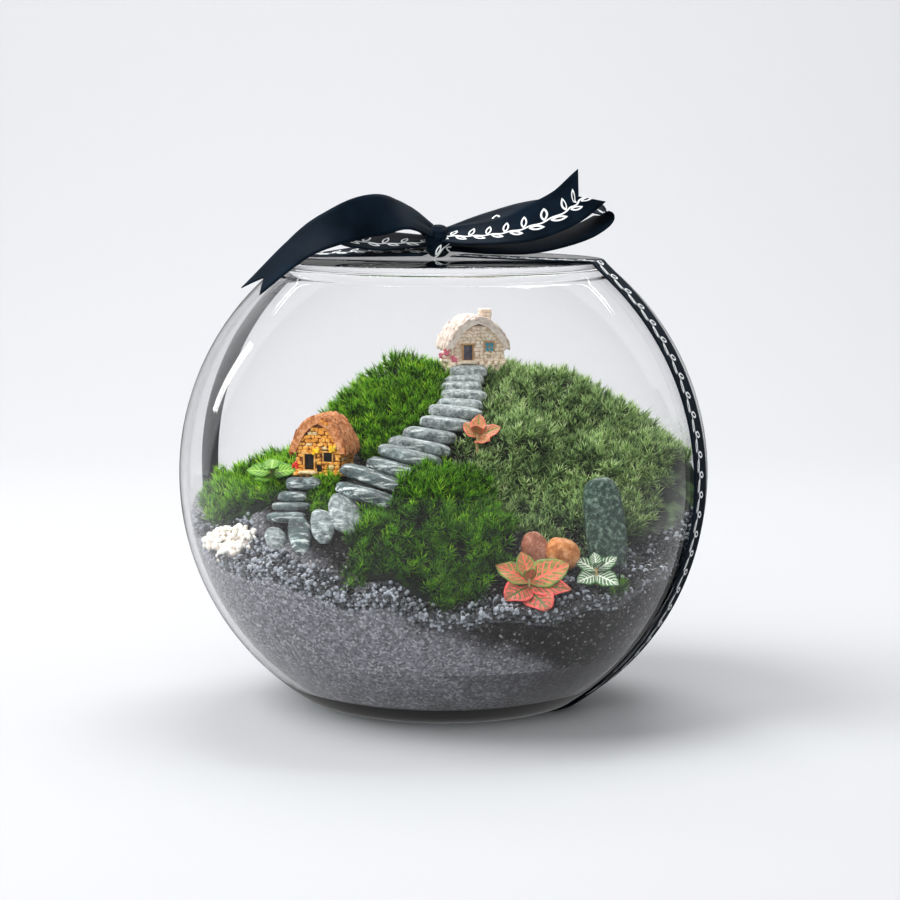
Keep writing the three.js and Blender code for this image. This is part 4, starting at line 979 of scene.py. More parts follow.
def footprints():
    # places that stones, cottages and plants stand on: x, y, half sizes, yaw, box or round
    marks = []
    for stone in stones + [standingStone, orangePebble, brownPebble]:
        tilt = math.cos(math.radians(stone["turn"][0]))
        marks.append((stone["at"][0], stone["at"][1], stone["size"][0] / 2, stone["size"][1] / 2 * tilt, stone["turn"][2], False))
    for c in cottages:
        marks.append((c["at"][0], c["at"][1] - 0.5, c["width"] / 2 + c["clear"], c["depth"] / 2 + c["clear"], c["yaw"], True))
    marks.append((lichen["at"][0], lichen["at"][1], lichen["size"][0] + 1, lichen["size"][1] + 1, 0, False))
    for plant in plants:
        marks.append((plant["at"][0], plant["at"][1], 2.5, 2.5, 0, False))
    return marks


def covered(x, y, margin):
    for cx, cy, halfX, halfY, yaw, isBox in marks:
        turn = -math.radians(yaw)
        dx, dy = x - cx, y - cy
        u = (dx * math.cos(turn) - dy * math.sin(turn)) / (halfX + margin)
        v = (dx * math.sin(turn) + dy * math.cos(turn)) / (halfY + margin)
        if (max(abs(u), abs(v)) < 1) if isBox else (u * u + v * v < 1):
            return True
    return False


def padReach(pad, angle):
    place = angle / (2 * math.pi) % 1 * 12
    low = int(place)
    mix = (1 - math.cos((place - low) * math.pi)) / 2
    return pad["reach"][low % 12] * (1 - mix) + pad["reach"][(low + 1) % 12] * mix


def cushion(pad, x, y, share):
    hummock = 1 + 0.28 * math.sin(x * 0.23 + pad["seed"]) * math.sin(y * 0.21 + 2 * pad["seed"])
    clump = 2.2 * noise.noise(Vector((x / 8, y / 8, pad["seed"]))) if pad["shoots"] > 60 else 0
    return (pad["thick"] * hummock * 0.8 + clump) * math.sqrt(max(0, 1 - min(1, share) ** 3))


def overgrown(pad, angle):
    # shoots creep past the cushion towards the stair and the pebbles
    factors = pad.get("overgrow", (1,) * 12)
    place = angle / (2 * math.pi) % 1 * 12
    low = int(place)
    return factors[low % 12] * (1 - place + low) + factors[(low + 1) % 12] * (place - low)


def padPoint(pad, angle, share):
    radius = padReach(pad, angle) * share
    return pad["centre"][0] + radius * math.cos(angle), pad["centre"][1] + radius * math.sin(angle)


def shootMesh(seed):
    chance = random.Random(seed)
    bm = bmesh.new()
    tip = bm.verts.layers.float.new("tip")
    length, count = mossShoot["length"], mossShoot["needles"]
    bmesh.ops.create_cone(bm, cap_ends=True, segments=3, radius1=0.4 * mm, radius2=0.12 * mm, depth=length * mm,
                          matrix=Matrix.Translation((0, 0, length / 2 * mm)))
    for i in range(count):
        up = i / (count - 1)
        lean = math.radians(70 - 55 * up + chance.uniform(-12, 12))
        reach = mossShoot["needle"] * (1 - 0.2 * up) * chance.uniform(0.75, 1.2)
        matrix = (Matrix.Translation((0, 0, length * (0.38 + 0.6 * up) * mm)) @ Matrix.Rotation(i * 2.4, 4, "Z")
                  @ Matrix.Rotation(lean, 4, "Y") @ Matrix.Translation((0, 0, reach / 2 * mm)))
        bmesh.ops.create_cone(bm, cap_ends=True, segments=3, radius1=mossShoot["width"] * mm, radius2=0,
                              depth=reach * mm, matrix=matrix)
    lush = 0.66 + 0.7 * chance.random()
    for vert in bm.verts:
        out = math.hypot(vert.co.x, vert.co.y) / (mossShoot["needle"] * mm)
        vert[tip] = min(1, lush * (0.42 * vert.co.z / (length * mm) + 0.55 * out))
    return meshOf(bm, "shoot")


shootMeshes = [shootMesh(i) for i in range(mossShoot["kinds"])]


def mossCollar(bm, c, chance):
    # shoots that climb against the cottage's footing, higher than the ground round it
    house = Matrix.Rotation(math.radians(c["yaw"]), 4, "Z")
    placed = 0
    for i in range(collar["shoots"]):
        angle = 2 * math.pi * i / collar["shoots"]
        out = 1 + chance.random() * collar["width"]
        side = Vector((max(-1, min(1, 1.35 * math.cos(angle))) * (c["width"] / 2 + out),
                       max(-1, min(1, 1.35 * math.sin(angle))) * (c["depth"] / 2 + out), 0))
        spot = house @ side + Vector((c["at"][0], c["at"][1], 0))
        if any(abs(spot.x - s["at"][0]) < s["size"][0] / 2 and abs(spot.y - s["at"][1]) < s["size"][1] / 2 for s in stones):
            continue
        spot.z = max(ground(spot.x, spot.y) + 1, c["at"][2] - collar["below"] - 0.8 * out)
        away = (house @ side).normalized()
        lean = Vector((away.x, away.y, 1.3)) + Vector((chance.uniform(-0.4, 0.4), chance.uniform(-0.4, 0.4), 0))
        matrix = (Matrix.Translation((spot - Vector((0, 0, mossShoot["sunk"]))) * mm)
                  @ lean.to_track_quat("Z", "Y").to_matrix().to_4x4()
                  @ Matrix.Rotation(chance.uniform(0, 6.28), 4, "Z") @ Matrix.Scale(chance.uniform(0.7, 1.1), 4))
        addCopy(bm, shootMeshes[chance.randrange(mossShoot["kinds"])], matrix)
        placed += 1
    return placed


def mossPiece(pad):
    chance = random.Random(pad["seed"])
    small = pad["shoots"] < 60
    bm = bmesh.new()
    tip = bm.verts.layers.float.new("tip")

    def corePlace(t, angle):
        share = math.sin(min(t, 1 - t) * math.pi)
        x, y = padPoint(pad, angle, share)
        z = ground(x, y) + (cushion(pad, x, y, share) * 0.72 if t < 0.5 else -2 * (1 - share))
        if covered(x, y, -1.5):
            z = min(z, ground(x, y) - 1.5)
        return insideGlass((x, y, z), 0.6)

    sphereForm(bm, 20 if small else 72, 10 if small else 40, corePlace)
    # the core takes the deepest moss tone: painted shade that keeps the gaps between the shoots dark
    for vert in bm.verts:
        vert[tip] = 0.02
    placed = 0
    for i in range(pad["shoots"]):
        angle = i * goldenAngle % (2 * math.pi)
        share = math.sqrt((i + 0.5) / pad["shoots"]) * (0.99 if small else 1.1) * overgrown(pad, angle)
        x, y = padPoint(pad, angle, share)
        x += chance.uniform(-0.8, 0.8)
        y += chance.uniform(-0.8, 0.8)
        z = ground(x, y) + cushion(pad, x, y, share)
        ragged = 1 + 0.22 * noise.noise(Vector((x / 9, y / 9, pad["seed"] * 0.7)))
        inHollow = math.hypot(x - mossHollow["at"][0], y - mossHollow["at"][1]) < mossHollow["radius"] * ragged
        if covered(x, y, 0.4) or math.hypot(x, y, z - bowl["centreZ"]) > fill["radius"] - 1.5:
            continue
        if not small and (share > ragged * overgrown(pad, angle) or inHollow):
            continue
        slope = 3
        lean = Vector((ground(x - slope, y) - ground(x + slope, y), ground(x, y - slope) - ground(x, y + slope), 2.4 * slope))
        sway = Vector((noise.noise(Vector((x, y, 3)) / mossShoot["clump"]), noise.noise(Vector((x, y, 40)) / mossShoot["clump"]), 0))
        lean = lean.normalized() + 0.9 * sway + Vector((chance.uniform(-0.4, 0.4), chance.uniform(-0.4, 0.4), 0.2))
        size = chance.uniform(0.7, 1.15) * (0.8 if small else 1)
        matrix = (Matrix.Translation(Vector((x, y, z - mossShoot["sunk"])) * mm)
                  @ lean.to_track_quat("Z", "Y").to_matrix().to_4x4()
                  @ Matrix.Rotation(chance.uniform(0, 6.28), 4, "Z") @ Matrix.Scale(size, 4))
        addCopy(bm, shootMeshes[chance.randrange(mossShoot["kinds"])], matrix)
        placed += 1
    if pad["node"] == "moss_right_hill":
        placed += mossCollar(bm, cottages[1], chance)
    for vert in bm.verts:  # what touches the wall lies along it
        vert.co = insideGlass(vert.co / mm, 0.3) * mm
    name = "grown" + "".join(word.capitalize() for word in pad["node"].split("_"))
    print(name, placed, "shoots", len(bm.faces), "faces")
    return finishPiece(name, bm, [mossLooks[pad["look"]]], [pad["node"]])


# Small plants: veined leaves in pairs on a short stem

plants = [  # each leaf: heading, lift, length, width, roll
    {"node": "fittonia_red", "at": (38, -88), "stem": 8, "slot": "red_leaf", "leaves": [
        (112, 56, 14, 8, 0), (-80, 50, 8, 5, 0), (168, 30, 17, 11, -31.5), (12, 26, 20, 13, 41.5),
        (-128, -8, 17, 11, -31.5), (-22, 4, 19, 9, 43.5), (-64, -14, 19, 12, 20)]},
    {"node": "fittonia_white", "at": (68.2, -77.2), "stem": 10, "slot": "green_leaf", "leaves": [
        (98, 54, 8, 5, 0), (-64, 38, 6, 4, 0), (158, 28, 12, 6, -38.8), (24, 32, 12, 6, 37.2),
        (-143, -8, 11, 7, -40.8), (-42, -10, 12, 8, 37.2)]},
    {"node": "fittonia_pink", "at": (16, -19), "stem": 11, "slot": "red_leaf", "leaves": [
        (80, 64, 10, 6, 0), (-100, 40, 8, 5, 0), (150, 44, 10, 6, -38), (12, 26, 12, 7, 38), (-60, 10, 10, 6, 25)]},
    {"node": "fittonia_left", "at": (-80, -24), "stem": 13, "slot": "green_leaf", "leaves": [
        (-95, 14, 11, 7, 0), (90, 24, 11, 7, 0), (175, 10, 12, 8, -32.5), (-10, 12, 12, 8, 37.5),
        (-145, 0, 9, 6, -32.5)]},
]
lichen = {"node": "white_lichen", "at": (-94, -46, 81), "size": (15, 14, 7), "lobes": 98, "knob": 1.4, "seed": 91}


def leafMaterial(name, blade, edgeColor, vein, veinWidth, netShare):
    # thin waxy leaf, quilted between its veins: blade, margin and vein colours from the leaf's own UV map
    material, tree, shader, place = newMaterial(name, {"Roughness": 0.42, "Specular IOR Level": 0.45})
    leafMap = addNode(tree, "ShaderNodeUVMap", uv_map="leafMap")
    axes = addNode(tree, "ShaderNodeSeparateXYZ", {0: leafMap.outputs[0]})
    fromMid = addNode(tree, "ShaderNodeMath", {0: axes.outputs["Y"], 1: 0.5}, operation="SUBTRACT")
    side = addNode(tree, "ShaderNodeMath", {0: fromMid.outputs[0]}, operation="ABSOLUTE")  # 0 at the midrib, 0.5 at the edge
    midrib = addNode(tree, "ShaderNodeMapRange", {"Value": side.outputs[0], "From Min": 0.02, "From Max": 0.055,
                                                  "To Min": 1.0, "To Max": 0.0})
    ribLine = addNode(tree, "ShaderNodeMath", {0: side.outputs[0], 1: -0.62, 2: axes.outputs["X"]},
                      operation="MULTIPLY_ADD")
    ribCount = addNode(tree, "ShaderNodeMath", {0: ribLine.outputs[0], 1: 6.5}, operation="MULTIPLY")
    ribSaw = addNode(tree, "ShaderNodeMath", {0: ribCount.outputs[0], 1: 0.5}, operation="PINGPONG")
    rib = addNode(tree, "ShaderNodeMapRange", {"Value": ribSaw.outputs[0], "From Min": veinWidth * 0.4,
                                               "From Max": veinWidth, "To Min": 1.0, "To Max": 0.0})
    spread = addNode(tree, "ShaderNodeMapping", {"Vector": leafMap.outputs[0], "Scale": (1.5, 0.9, 1.0)})
    net = addNode(tree, "ShaderNodeTexVoronoi", {"Vector": spread.outputs[0], "Scale": 11.0}, feature="DISTANCE_TO_EDGE")
    netLine = addNode(tree, "ShaderNodeMapRange", {"Value": net.outputs["Distance"], "From Min": 0.03, "From Max": 0.12,
                                                   "To Min": netShare, "To Max": 0.0})
    veins = addNode(tree, "ShaderNodeMath", {0: rib.outputs[0], 1: netLine.outputs[0]}, operation="MAXIMUM")
    inner = addNode(tree, "ShaderNodeMapRange", {"Value": side.outputs[0], "From Min": 0.34, "From Max": 0.47,
                                                 "To Min": 1.0, "To Max": 0.0})
    veinsIn = addNode(tree, "ShaderNodeMath", {0: veins.outputs[0], 1: inner.outputs[0]}, operation="MULTIPLY")
    mask = addNode(tree, "ShaderNodeMath", {0: veinsIn.outputs[0], 1: midrib.outputs[0]}, operation="MAXIMUM")
    patch = addNode(tree, "ShaderNodeTexNoise", {"Vector": place, "Scale": every(3), "Detail": 3.0})
    shade = addNode(tree, "ShaderNodeMapRange", {"Value": patch.outputs["Fac"], "From Min": 0.3, "From Max": 0.7})
    bladeTone = addNode(tree, "ShaderNodeMix", {0: shade.outputs[0], 6: hexColor(blade), 7: hexColor(edgeColor)},
                        data_type="RGBA")
    colored = addNode(tree, "ShaderNodeMix", {0: mask.outputs[0], 6: bladeTone.outputs[2], 7: hexColor(vein)},
                      data_type="RGBA")
    tree.links.new(colored.outputs[2], shader.inputs["Base Color"])
    bump = addNode(tree, "ShaderNodeBump", {"Height": mask.outputs[0], "Strength": 0.5, "Distance": 0.35 * mm},
                   invert=True)
    tree.links.new(bump.outputs[0], shader.inputs["Normal"])
    return material


leafLooks = {
    "fittonia_red": leafMaterial("coralNerveLeaf", "#3f6d2c", "#8a9a4c", "#ee6a5c", 0.17, 0.7),
    "fittonia_white": leafMaterial("whiteNerveLeaf", "#1f4a20", "#3b7031", "#f2f6e8", 0.19, 0.25),
    "fittonia_pink": leafMaterial("pinkNerveLeaf", "#e26a5e", "#f09072", "#5c8c40", 0.15, 0.5),
    "fittonia_left": leafMaterial("freshNerveLeaf", "#3a7320", "#5c962a", "#a8cf62", 0.2, 0.35),
}
# the red plant's low leaves are the other way round: coral with green veins
coralBlade = leafMaterial("coralBladeLeaf", "#cf3f48", "#ea675e", "#35602c", 0.18, 0.75)
# soft green plant stem, mottled olive to pinkish brown
plantStem, tree, shader, place = newMaterial("plantStem", {"Roughness": 0.6})
stemTone = addNode(tree, "ShaderNodeTexNoise", {"Vector": place, "Scale": every(1.5), "Detail": 2.0})
stemStops = addNode(tree, "ShaderNodeValToRGB", {0: stemTone.outputs["Fac"]}, stops=[(0.3, "#8a8f55"), (0.7, "#b9906f")])
tree.links.new(stemStops.outputs[0], shader.inputs["Base Color"])


def leafMesh(length, width, seed):
    chance = random.Random(seed)
    bm = bmesh.new()
    bmesh.ops.create_grid(bm, x_segments=22, y_segments=12, size=0.5)
    leafMap = bm.loops.layers.uv.new("leafMap")
    for face in bm.faces:
        for loop in face.loops:
            loop[leafMap].uv = (loop.vert.co.x + 0.5, loop.vert.co.y + 0.5)
    ripple = chance.uniform(0, 6)
    for vert in bm.verts:
        u, v = vert.co.x + 0.5, vert.co.y * 2
        half = width / 2 * max(0, math.sin(math.pi * u ** 0.85)) ** 0.78 + 0.3 * (1 - u)
        droop = -length * 0.16 * u * u + length * 0.06 * u
        quilt = 0.22 * math.cos((u - 0.31 * abs(v)) * 6.5 * 2 * math.pi) * min(1, abs(v) * 3) * (1 - abs(v) ** 4)
        edgeWave = 0.35 * abs(v) ** 3 * math.sin(u * 14 + ripple + v)
        rise = 0.12 * abs(v) * half + (0.15 if abs(v) > 0.08 else 0)
        vert.co = Vector((length * u, half * v, droop + rise + quilt * min(1, half / 3) + edgeWave)) * mm
    bmesh.ops.solidify(bm, geom=bm.faces[:], thickness=0.45 * mm)
    bmesh.ops.remove_doubles(bm, verts=bm.verts, dist=0.01 * mm)
    bmesh.ops.recalc_face_normals(bm, faces=bm.faces)
    return meshOf(bm, "leaf")


def plantPiece(plant):
    x, y = plant["at"]
    top = ground(x, y) + plant["stem"]
    bm = bmesh.new()
    bm.loops.layers.uv.new("leafMap")
    stem = bmesh.new()
    foot = ground(x, y) - 4
    bmesh.ops.create_cone(stem, cap_ends=True, segments=10, radius1=0.85 * mm, radius2=0.7 * mm,
                                 depth=(top - foot) * mm, matrix=Matrix.Translation(Vector((x, y, (top + foot) / 2)) * mm))
    for face in stem.faces:
        face.material_index = 1
    addCopy(bm, meshOf(stem, "stem"), Matrix.Identity(4))
    for i, (heading, lift, length, width, roll) in enumerate(plant["leaves"]):
        z = top - 0.8 - i // 2 * 1.7
        matrix = Matrix.Translation(Vector((x, y, z)) * mm) @ turned((roll, -lift, heading))
        leaf = leafMesh(length, width * 1.15, i)
        if plant["node"] == "fittonia_red" and lift < 10:
            leaf.polygons.foreach_set("material_index", [2] * len(leaf.polygons))
        addCopy(bm, leaf, matrix)
    for vert in bm.verts:
        vert.co = insideGlass(vert.co / mm, 0.3) * mm
    name = "leafy" + "".join(word.capitalize() for word in plant["node"].split("_"))
    return finishPiece(name, bm, [leafLooks[plant["node"]], plantStem, coralBlade], [plant["node"]])


marks = footprints()
for plant in plants:
    plantPiece(plant)
print("plants made")
for pad in mossPads:
    mossPiece(pad)
print("moss made")


# White lichen: a dome of knobbly branching lobes

# reindeer lichen: chalky off-white with a faint pink cast, soft and sponge-like
chalkLichen, tree, shader, place = newMaterial("reindeerLichen", {"Roughness": 0.9, "Subsurface Weight": 0.25,
                                                                  "Subsurface Radius": (0.004, 0.003, 0.002),
                                                                  "Subsurface Scale": 0.5})
cloud = addNode(tree, "ShaderNodeTexNoise", {"Vector": place, "Scale": every(5), "Detail": 4.0})
chalk = addNode(tree, "ShaderNodeValToRGB", {0: cloud.outputs["Fac"]}, stops=[
    (0.3, "#ead9cd"), (0.5, "#f8efe6"), (0.75, "#fffdf9")])
tree.links.new(chalk.outputs[0], shader.inputs["Base Color"])
fuzz = addNode(tree, "ShaderNodeTexNoise", {"Vector": place, "Scale": every(0.7), "Detail": 3.0})
bump = addNode(tree, "ShaderNodeBump", {"Height": fuzz.outputs["Fac"], "Strength": 0.5, "Distance": 0.3 * mm})
tree.links.new(bump.outputs[0], shader.inputs["Normal"])


def lichenLobe(seed):
    # a forked knob: a short stalk with five round tips
    chance = random.Random(seed)
    bm = bmesh.new()
    bmesh.ops.create_cone(bm, cap_ends=True, segments=6, radius1=0.9 * mm, radius2=1.3 * mm, depth=4 * mm,
                          matrix=Matrix.Translation((0, 0, -0.2 * mm)))
    for i in range(5):
        turn = i * math.pi * 0.4 + chance.uniform(-0.5, 0.5)
        out = chance.uniform(1.5, 2.4)
        spot = Vector((out * math.cos(turn), out * math.sin(turn), 1.6 + chance.uniform(-0.9, 1.5))) * mm
        matrix = Matrix.Translation(spot) @ Matrix.Scale(chance.uniform(0.65, 1.1), 4)
        bmesh.ops.create_icosphere(bm, subdivisions=2, radius=lichen["knob"] * mm, matrix=matrix)
    return meshOf(bm, "lobe")


chance = random.Random(lichen["seed"])
lobes = [lichenLobe(i) for i in range(6)]
bm = bmesh.new()


def lichenCore(t, angle):
    out = math.sin(t * math.pi)
    return (lichen["at"][0] + lichen["size"][0] * 0.72 * out * math.cos(angle),
            lichen["at"][1] + lichen["size"][1] * 0.72 * out * math.sin(angle),
            lichen["at"][2] + lichen["size"][2] * 0.6 * math.cos(t * math.pi))


sphereForm(bm, 24, 12, lichenCore)
for i in range(lichen["lobes"]):
    up = 1 - 1.15 * (i + 0.5) / lichen["lobes"]
    out = math.sqrt(max(0, 1 - up * up))
    normal = Vector((out * math.cos(i * goldenAngle), out * math.sin(i * goldenAngle), up))
    spot = Vector(lichen["at"]) + Vector([n * s * 0.9 for n, s in zip(normal, lichen["size"])])
    spot += Vector((chance.uniform(-0.8, 0.8), chance.uniform(-0.8, 0.8), chance.uniform(-0.4, 0.8)))
    spot = insideGlass(spot, 4.2)
    if spot.z < ground(spot.x, spot.y) - 1.5:
        continue
    matrix = (Matrix.Translation(spot * mm) @ normal.to_track_quat("Z", "Y").to_matrix().to_4x4()
              @ Matrix.Rotation(chance.uniform(0, 6.28), 4, "Z") @ Matrix.Scale(chance.uniform(0.7, 1.15), 4))
    addCopy(bm, lobes[i % 6], matrix)
lichenClump = finishPiece("lichenClump", bm, [chalkLichen], ["white_lichen"])
print("lichen made")


# Ribbon: woven satin band 20 mm wide, printed on its outer face with a plain leafy vine

ribbon = {"width": 20.0, "thick": 0.6, "angle": math.radians(-20), "repeat": 9.3, "lift": 4.5, "liftStart": 4,
          "liftRise": 8, "liftFall": 30, "stemY": -1.6, "line": 0.27}


def threeWay(points, place):
    # a smooth curve through the points (centripetal), place from 0 to 1
    count = len(points)
    scaled = (count - 1) * place
    low = min(count - 2, int(scaled))
    share = scaled - low
    p1, p2 = points[low], points[low + 1]
    p0 = points[low - 1] if low > 0 else p1 * 2 - p2
    p3 = points[low + 2] if low + 2 < count else p2 * 2 - p1
    d0, d1, d2 = [max(1e-4, (b - a).length ** 0.5) for a, b in ((p0, p1), (p1, p2), (p2, p3))]
    t1 = ((p1 - p0) / d0 - (p2 - p0) / (d0 + d1) + (p2 - p1) / d1) * d1
    t2 = ((p2 - p1) / d1 - (p3 - p1) / (d1 + d2) + (p3 - p2) / d2) * d1
    c2, c3 = -3 * p1 + 3 * p2 - 2 * t1 - t2, 2 * p1 - 2 * p2 + t1 + t2
    return p1 + t1 * share + c2 * share ** 2 + c3 * share ** 3


# polyester satin ribbon, navy: soft sheen, fine cross ribs
def satin(name, printed):
    material, tree, shader, place = newMaterial(name, {"Roughness": 0.75, "Specular IOR Level": 0.1,
                                                       "Sheen Weight": 0.015, "Sheen Roughness": 0.4,
                                                       "Sheen Tint": hexColor("#8fa6bd")})
    clothMap = addNode(tree, "ShaderNodeUVMap", uv_map="clothMap")
    axes = addNode(tree, "ShaderNodeSeparateXYZ", {0: clothMap.outputs[0]})  # both in millimetres, across from -10 to 10
    # ribs are 0.25 mm in the real cloth and drawn at 0.5 mm so that they show
    ribs = addNode(tree, "ShaderNodeMath", {0: axes.outputs["X"], 1: 2 * math.pi / 0.5}, operation="MULTIPLY")
    ribWave = addNode(tree, "ShaderNodeMath", {0: ribs.outputs[0]}, operation="SINE")
    crease = addNode(tree, "ShaderNodeTexNoise", {"Vector": place, "Scale": every(11), "Detail": 3.0})
    shade = addNode(tree, "ShaderNodeValToRGB", {0: crease.outputs["Fac"]}, stops=[(0.3, "#050e17"), (0.7, "#0b1824")])
    color = shade.outputs[0]
    if printed:
        repeat = ribbon["repeat"]
        masks = []
        # stem: a thin wavy line just below the middle
        swing = addNode(tree, "ShaderNodeMath", {0: axes.outputs["X"], 1: 2 * math.pi / repeat}, operation="MULTIPLY")
        swingWave = addNode(tree, "ShaderNodeMath", {0: swing.outputs[0]}, operation="SINE")
        stemY = addNode(tree, "ShaderNodeMath", {0: swingWave.outputs[0], 1: 0.35, 2: axes.outputs["Y"]},
                        operation="MULTIPLY_ADD")
        offStem = addNode(tree, "ShaderNodeMath", {0: stemY.outputs[0], 1: -ribbon["stemY"]}, operation="ADD")
        stemGap = addNode(tree, "ShaderNodeMath", {0: offStem.outputs[0]}, operation="ABSOLUTE")
        masks.append(addNode(tree, "ShaderNodeMapRange", {"Value": stemGap.outputs[0], "From Min": 0.3, "From Max": 0.44,
                                                          "To Min": 1.0, "To Max": 0.0}).outputs[0])
        # leaves: pointed ovals in outline, one above and one below the stem in each repeat
        for shift, middleY, lean, long, wide in [(0.0, 1.8, 74, 3.1, 1.5), (repeat / 2, -3.3, -20, 3.3, 1.2)]:
            moved = addNode(tree, "ShaderNodeMath", {0: axes.outputs["X"], 1: shift}, operation="ADD")
            wrapped = addNode(tree, "ShaderNodeMath", {0: moved.outputs[0], 1: repeat}, operation="FLOORED_MODULO")
            dx = addNode(tree, "ShaderNodeMath", {0: wrapped.outputs[0], 1: repeat / 2}, operation="SUBTRACT")
            dy = addNode(tree, "ShaderNodeMath", {0: axes.outputs["Y"], 1: middleY}, operation="SUBTRACT")
            cosLean, sinLean = math.cos(math.radians(lean)), math.sin(math.radians(lean))
            alongX = addNode(tree, "ShaderNodeMath", {0: dx.outputs[0], 1: cosLean}, operation="MULTIPLY")
            along = addNode(tree, "ShaderNodeMath", {0: dy.outputs[0], 1: sinLean, 2: alongX.outputs[0]},
                            operation="MULTIPLY_ADD")
            sideX = addNode(tree, "ShaderNodeMath", {0: dx.outputs[0], 1: -sinLean}, operation="MULTIPLY")
            sideways = addNode(tree, "ShaderNodeMath", {0: dy.outputs[0], 1: cosLean, 2: sideX.outputs[0]},
                               operation="MULTIPLY_ADD")
            # a pointed oval is where two circles of one radius overlap
            circle = (long ** 2 + wide ** 2) / (2 * wide)
            sideSize = addNode(tree, "ShaderNodeMath", {0: sideways.outputs[0]}, operation="ABSOLUTE")
            fromCentre = addNode(tree, "ShaderNodeMath", {0: sideSize.outputs[0], 1: circle - wide}, operation="ADD")
            squareA = addNode(tree, "ShaderNodeMath", {0: fromCentre.outputs[0], 1: fromCentre.outputs[0]},
                              operation="MULTIPLY")
            squareSum = addNode(tree, "ShaderNodeMath", {0: along.outputs[0], 1: along.outputs[0], 2: squareA.outputs[0]},
                                operation="MULTIPLY_ADD")
            distance = addNode(tree, "ShaderNodeMath", {0: squareSum.outputs[0]}, operation="SQRT")
            fromLine = addNode(tree, "ShaderNodeMath", {0: distance.outputs[0], 1: circle - 0.3}, operation="SUBTRACT")
            lineGap = addNode(tree, "ShaderNodeMath", {0: fromLine.outputs[0]}, operation="ABSOLUTE")
            masks.append(addNode(tree, "ShaderNodeMapRange", {"Value": lineGap.outputs[0], "From Min": ribbon["line"],
                                                              "From Max": 0.5, "To Min": 1.0, "To Max": 0.0}).outputs[0])
        total = masks[0]
        for mask in masks[1:]:
            total = addNode(tree, "ShaderNodeMath", {0: total, 1: mask}, operation="MAXIMUM").outputs[0]
        color = addNode(tree, "ShaderNodeMix", {0: total, 6: color, 7: hexColor("#eef1f2")}, data_type="RGBA").outputs[2]
    tree.links.new(color, shader.inputs["Base Color"])
    bump = addNode(tree, "ShaderNodeBump", {"Height": ribWave.outputs[0], "Strength": 0.3, "Distance": 0.08 * mm})
    tree.links.new(bump.outputs[0], shader.inputs["Normal"])
    return material


printedSatin = satin("printedNavySatin", True)
plainSatin = satin("plainNavySatin", False)


def ribbonPiece(name, node, steps, place, length, notch=0, flip=False):
    # a strip of cloth: place(u, v) gives its middle surface, u along from 0 to 1 and v across from -1 to 1
    bm = bmesh.new()
    bmesh.ops.create_grid(bm, x_segments=steps, y_segments=10, size=0.5)
    clothMap = bm.loops.layers.uv.new("clothMap")
    for face in bm.faces:
        for loop in face.loops:
            loop[clothMap].uv = ((loop.vert.co.x + 0.5) * length, loop.vert.co.y * ribbon["width"] * (-1 if flip else 1))
    for vert in bm.verts:
        vert.co = place(vert.co.x + 0.5, vert.co.y * 2) * mm
    if flip:
        bmesh.ops.reverse_faces(bm, faces=bm.faces)
    mesh = bpy.data.meshes.new(name)
    bm.to_mesh(mesh)
    bm.free()
    mesh.shade_smooth()
    mesh.materials.append(printedSatin)
    mesh.materials.append(plainSatin)
    piece = bpy.data.objects.new(name, mesh)
    bpy.context.scene.collection.objects.link(piece)
    cloth = piece.modifiers.new("clothThickness", "SOLIDIFY")
    cloth.thickness = 0.5 * mm
    cloth.offset = 0
    cloth.material_offset = 1
    cloth.material_offset_rim = 1
    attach(piece, "root")
    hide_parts(node)
    area = sum(p.area for p in mesh.polygons)
    print(name, "length", round(length, 1), "cloth area", round(area * 1e4, 2), "cm2")
    return piece


def bandLine():
    clearance = bowl["gap"] + ribbon["thick"] / 2
    radius = bowl["radius"] + clearance
    flat = footRound(radius, bowl["baseZ"] - clearance, 10)
    topZ = lid["topZ"] + clearance
    edgeS, edgeZ = lid["radius"] + clearance, lid["topZ"] - 0.6
    lift = math.atan2(edgeZ - bowl["centreZ"], edgeS)
    touch = lift - math.acos(radius / math.hypot(edgeS, edgeZ - bowl["centreZ"]))
    meetZ = bowl["centreZ"] + radius * math.sin(touch)
    down = sphereArc(radius, flat[-1][1], meetZ, 60)[::-1]
    half = [(7, topZ + 1.4), (28, topZ + 0.8), (44, topZ + 0.4), (58, topZ + 0.15), (lid["radius"] - 1.2, topZ),
            (lid["radius"] + 0.2, topZ - 0.4), (edgeS, edgeZ)] + down + flat[::-1][1:]
    half += [(s, flat[0][1]) for s in (39, 26, 13)]
    return half + [(0, flat[0][1])] + [(-s, z) for s, z in half[::-1]]


def bandLift(s, z):
    # left of the knot the far edge of the band stands up from the lid
    if z < lid["topZ"]:
        return 0
    rise = (-s - ribbon["liftStart"]) / ribbon["liftRise"]
    fall = (lid["radius"] - ribbon["liftStart"] + s) / ribbon["liftFall"]
    return ribbon["lift"] * min(1, max(0, rise), max(0, fall))


def bandPlace(line):
    sums = [0]
    for (s0, z0), (s1, z1) in zip(line, line[1:]):
        sums.append(sums[-1] + math.hypot(s1 - s0, z1 - z0))

    def place(u, v):
        far = u * sums[-1]
        i = next((k for k in range(1, len(sums)) if sums[k] >= far - 1e-6), len(sums) - 1)
        share = (far - sums[i - 1]) / (sums[i] - sums[i - 1])
        s = line[i - 1][0] + (line[i][0] - line[i - 1][0]) * share
        z = line[i - 1][1] + (line[i][1] - line[i - 1][1]) * share
        half = v * ribbon["width"] / 2
        z += bandLift(s, z) * (v + 1) / 2
        return Vector((s * math.cos(ribbon["angle"]) - math.sin(ribbon["angle"]) * half,
                       s * math.sin(ribbon["angle"]) + math.cos(ribbon["angle"]) * half, z))

    return place, sums[-1]


placeBand, bandLength = bandPlace(bandLine())
ribbonBand = ribbonPiece("ribbonBand", "ribbon_band", 330, placeBand, bandLength, flip=False)

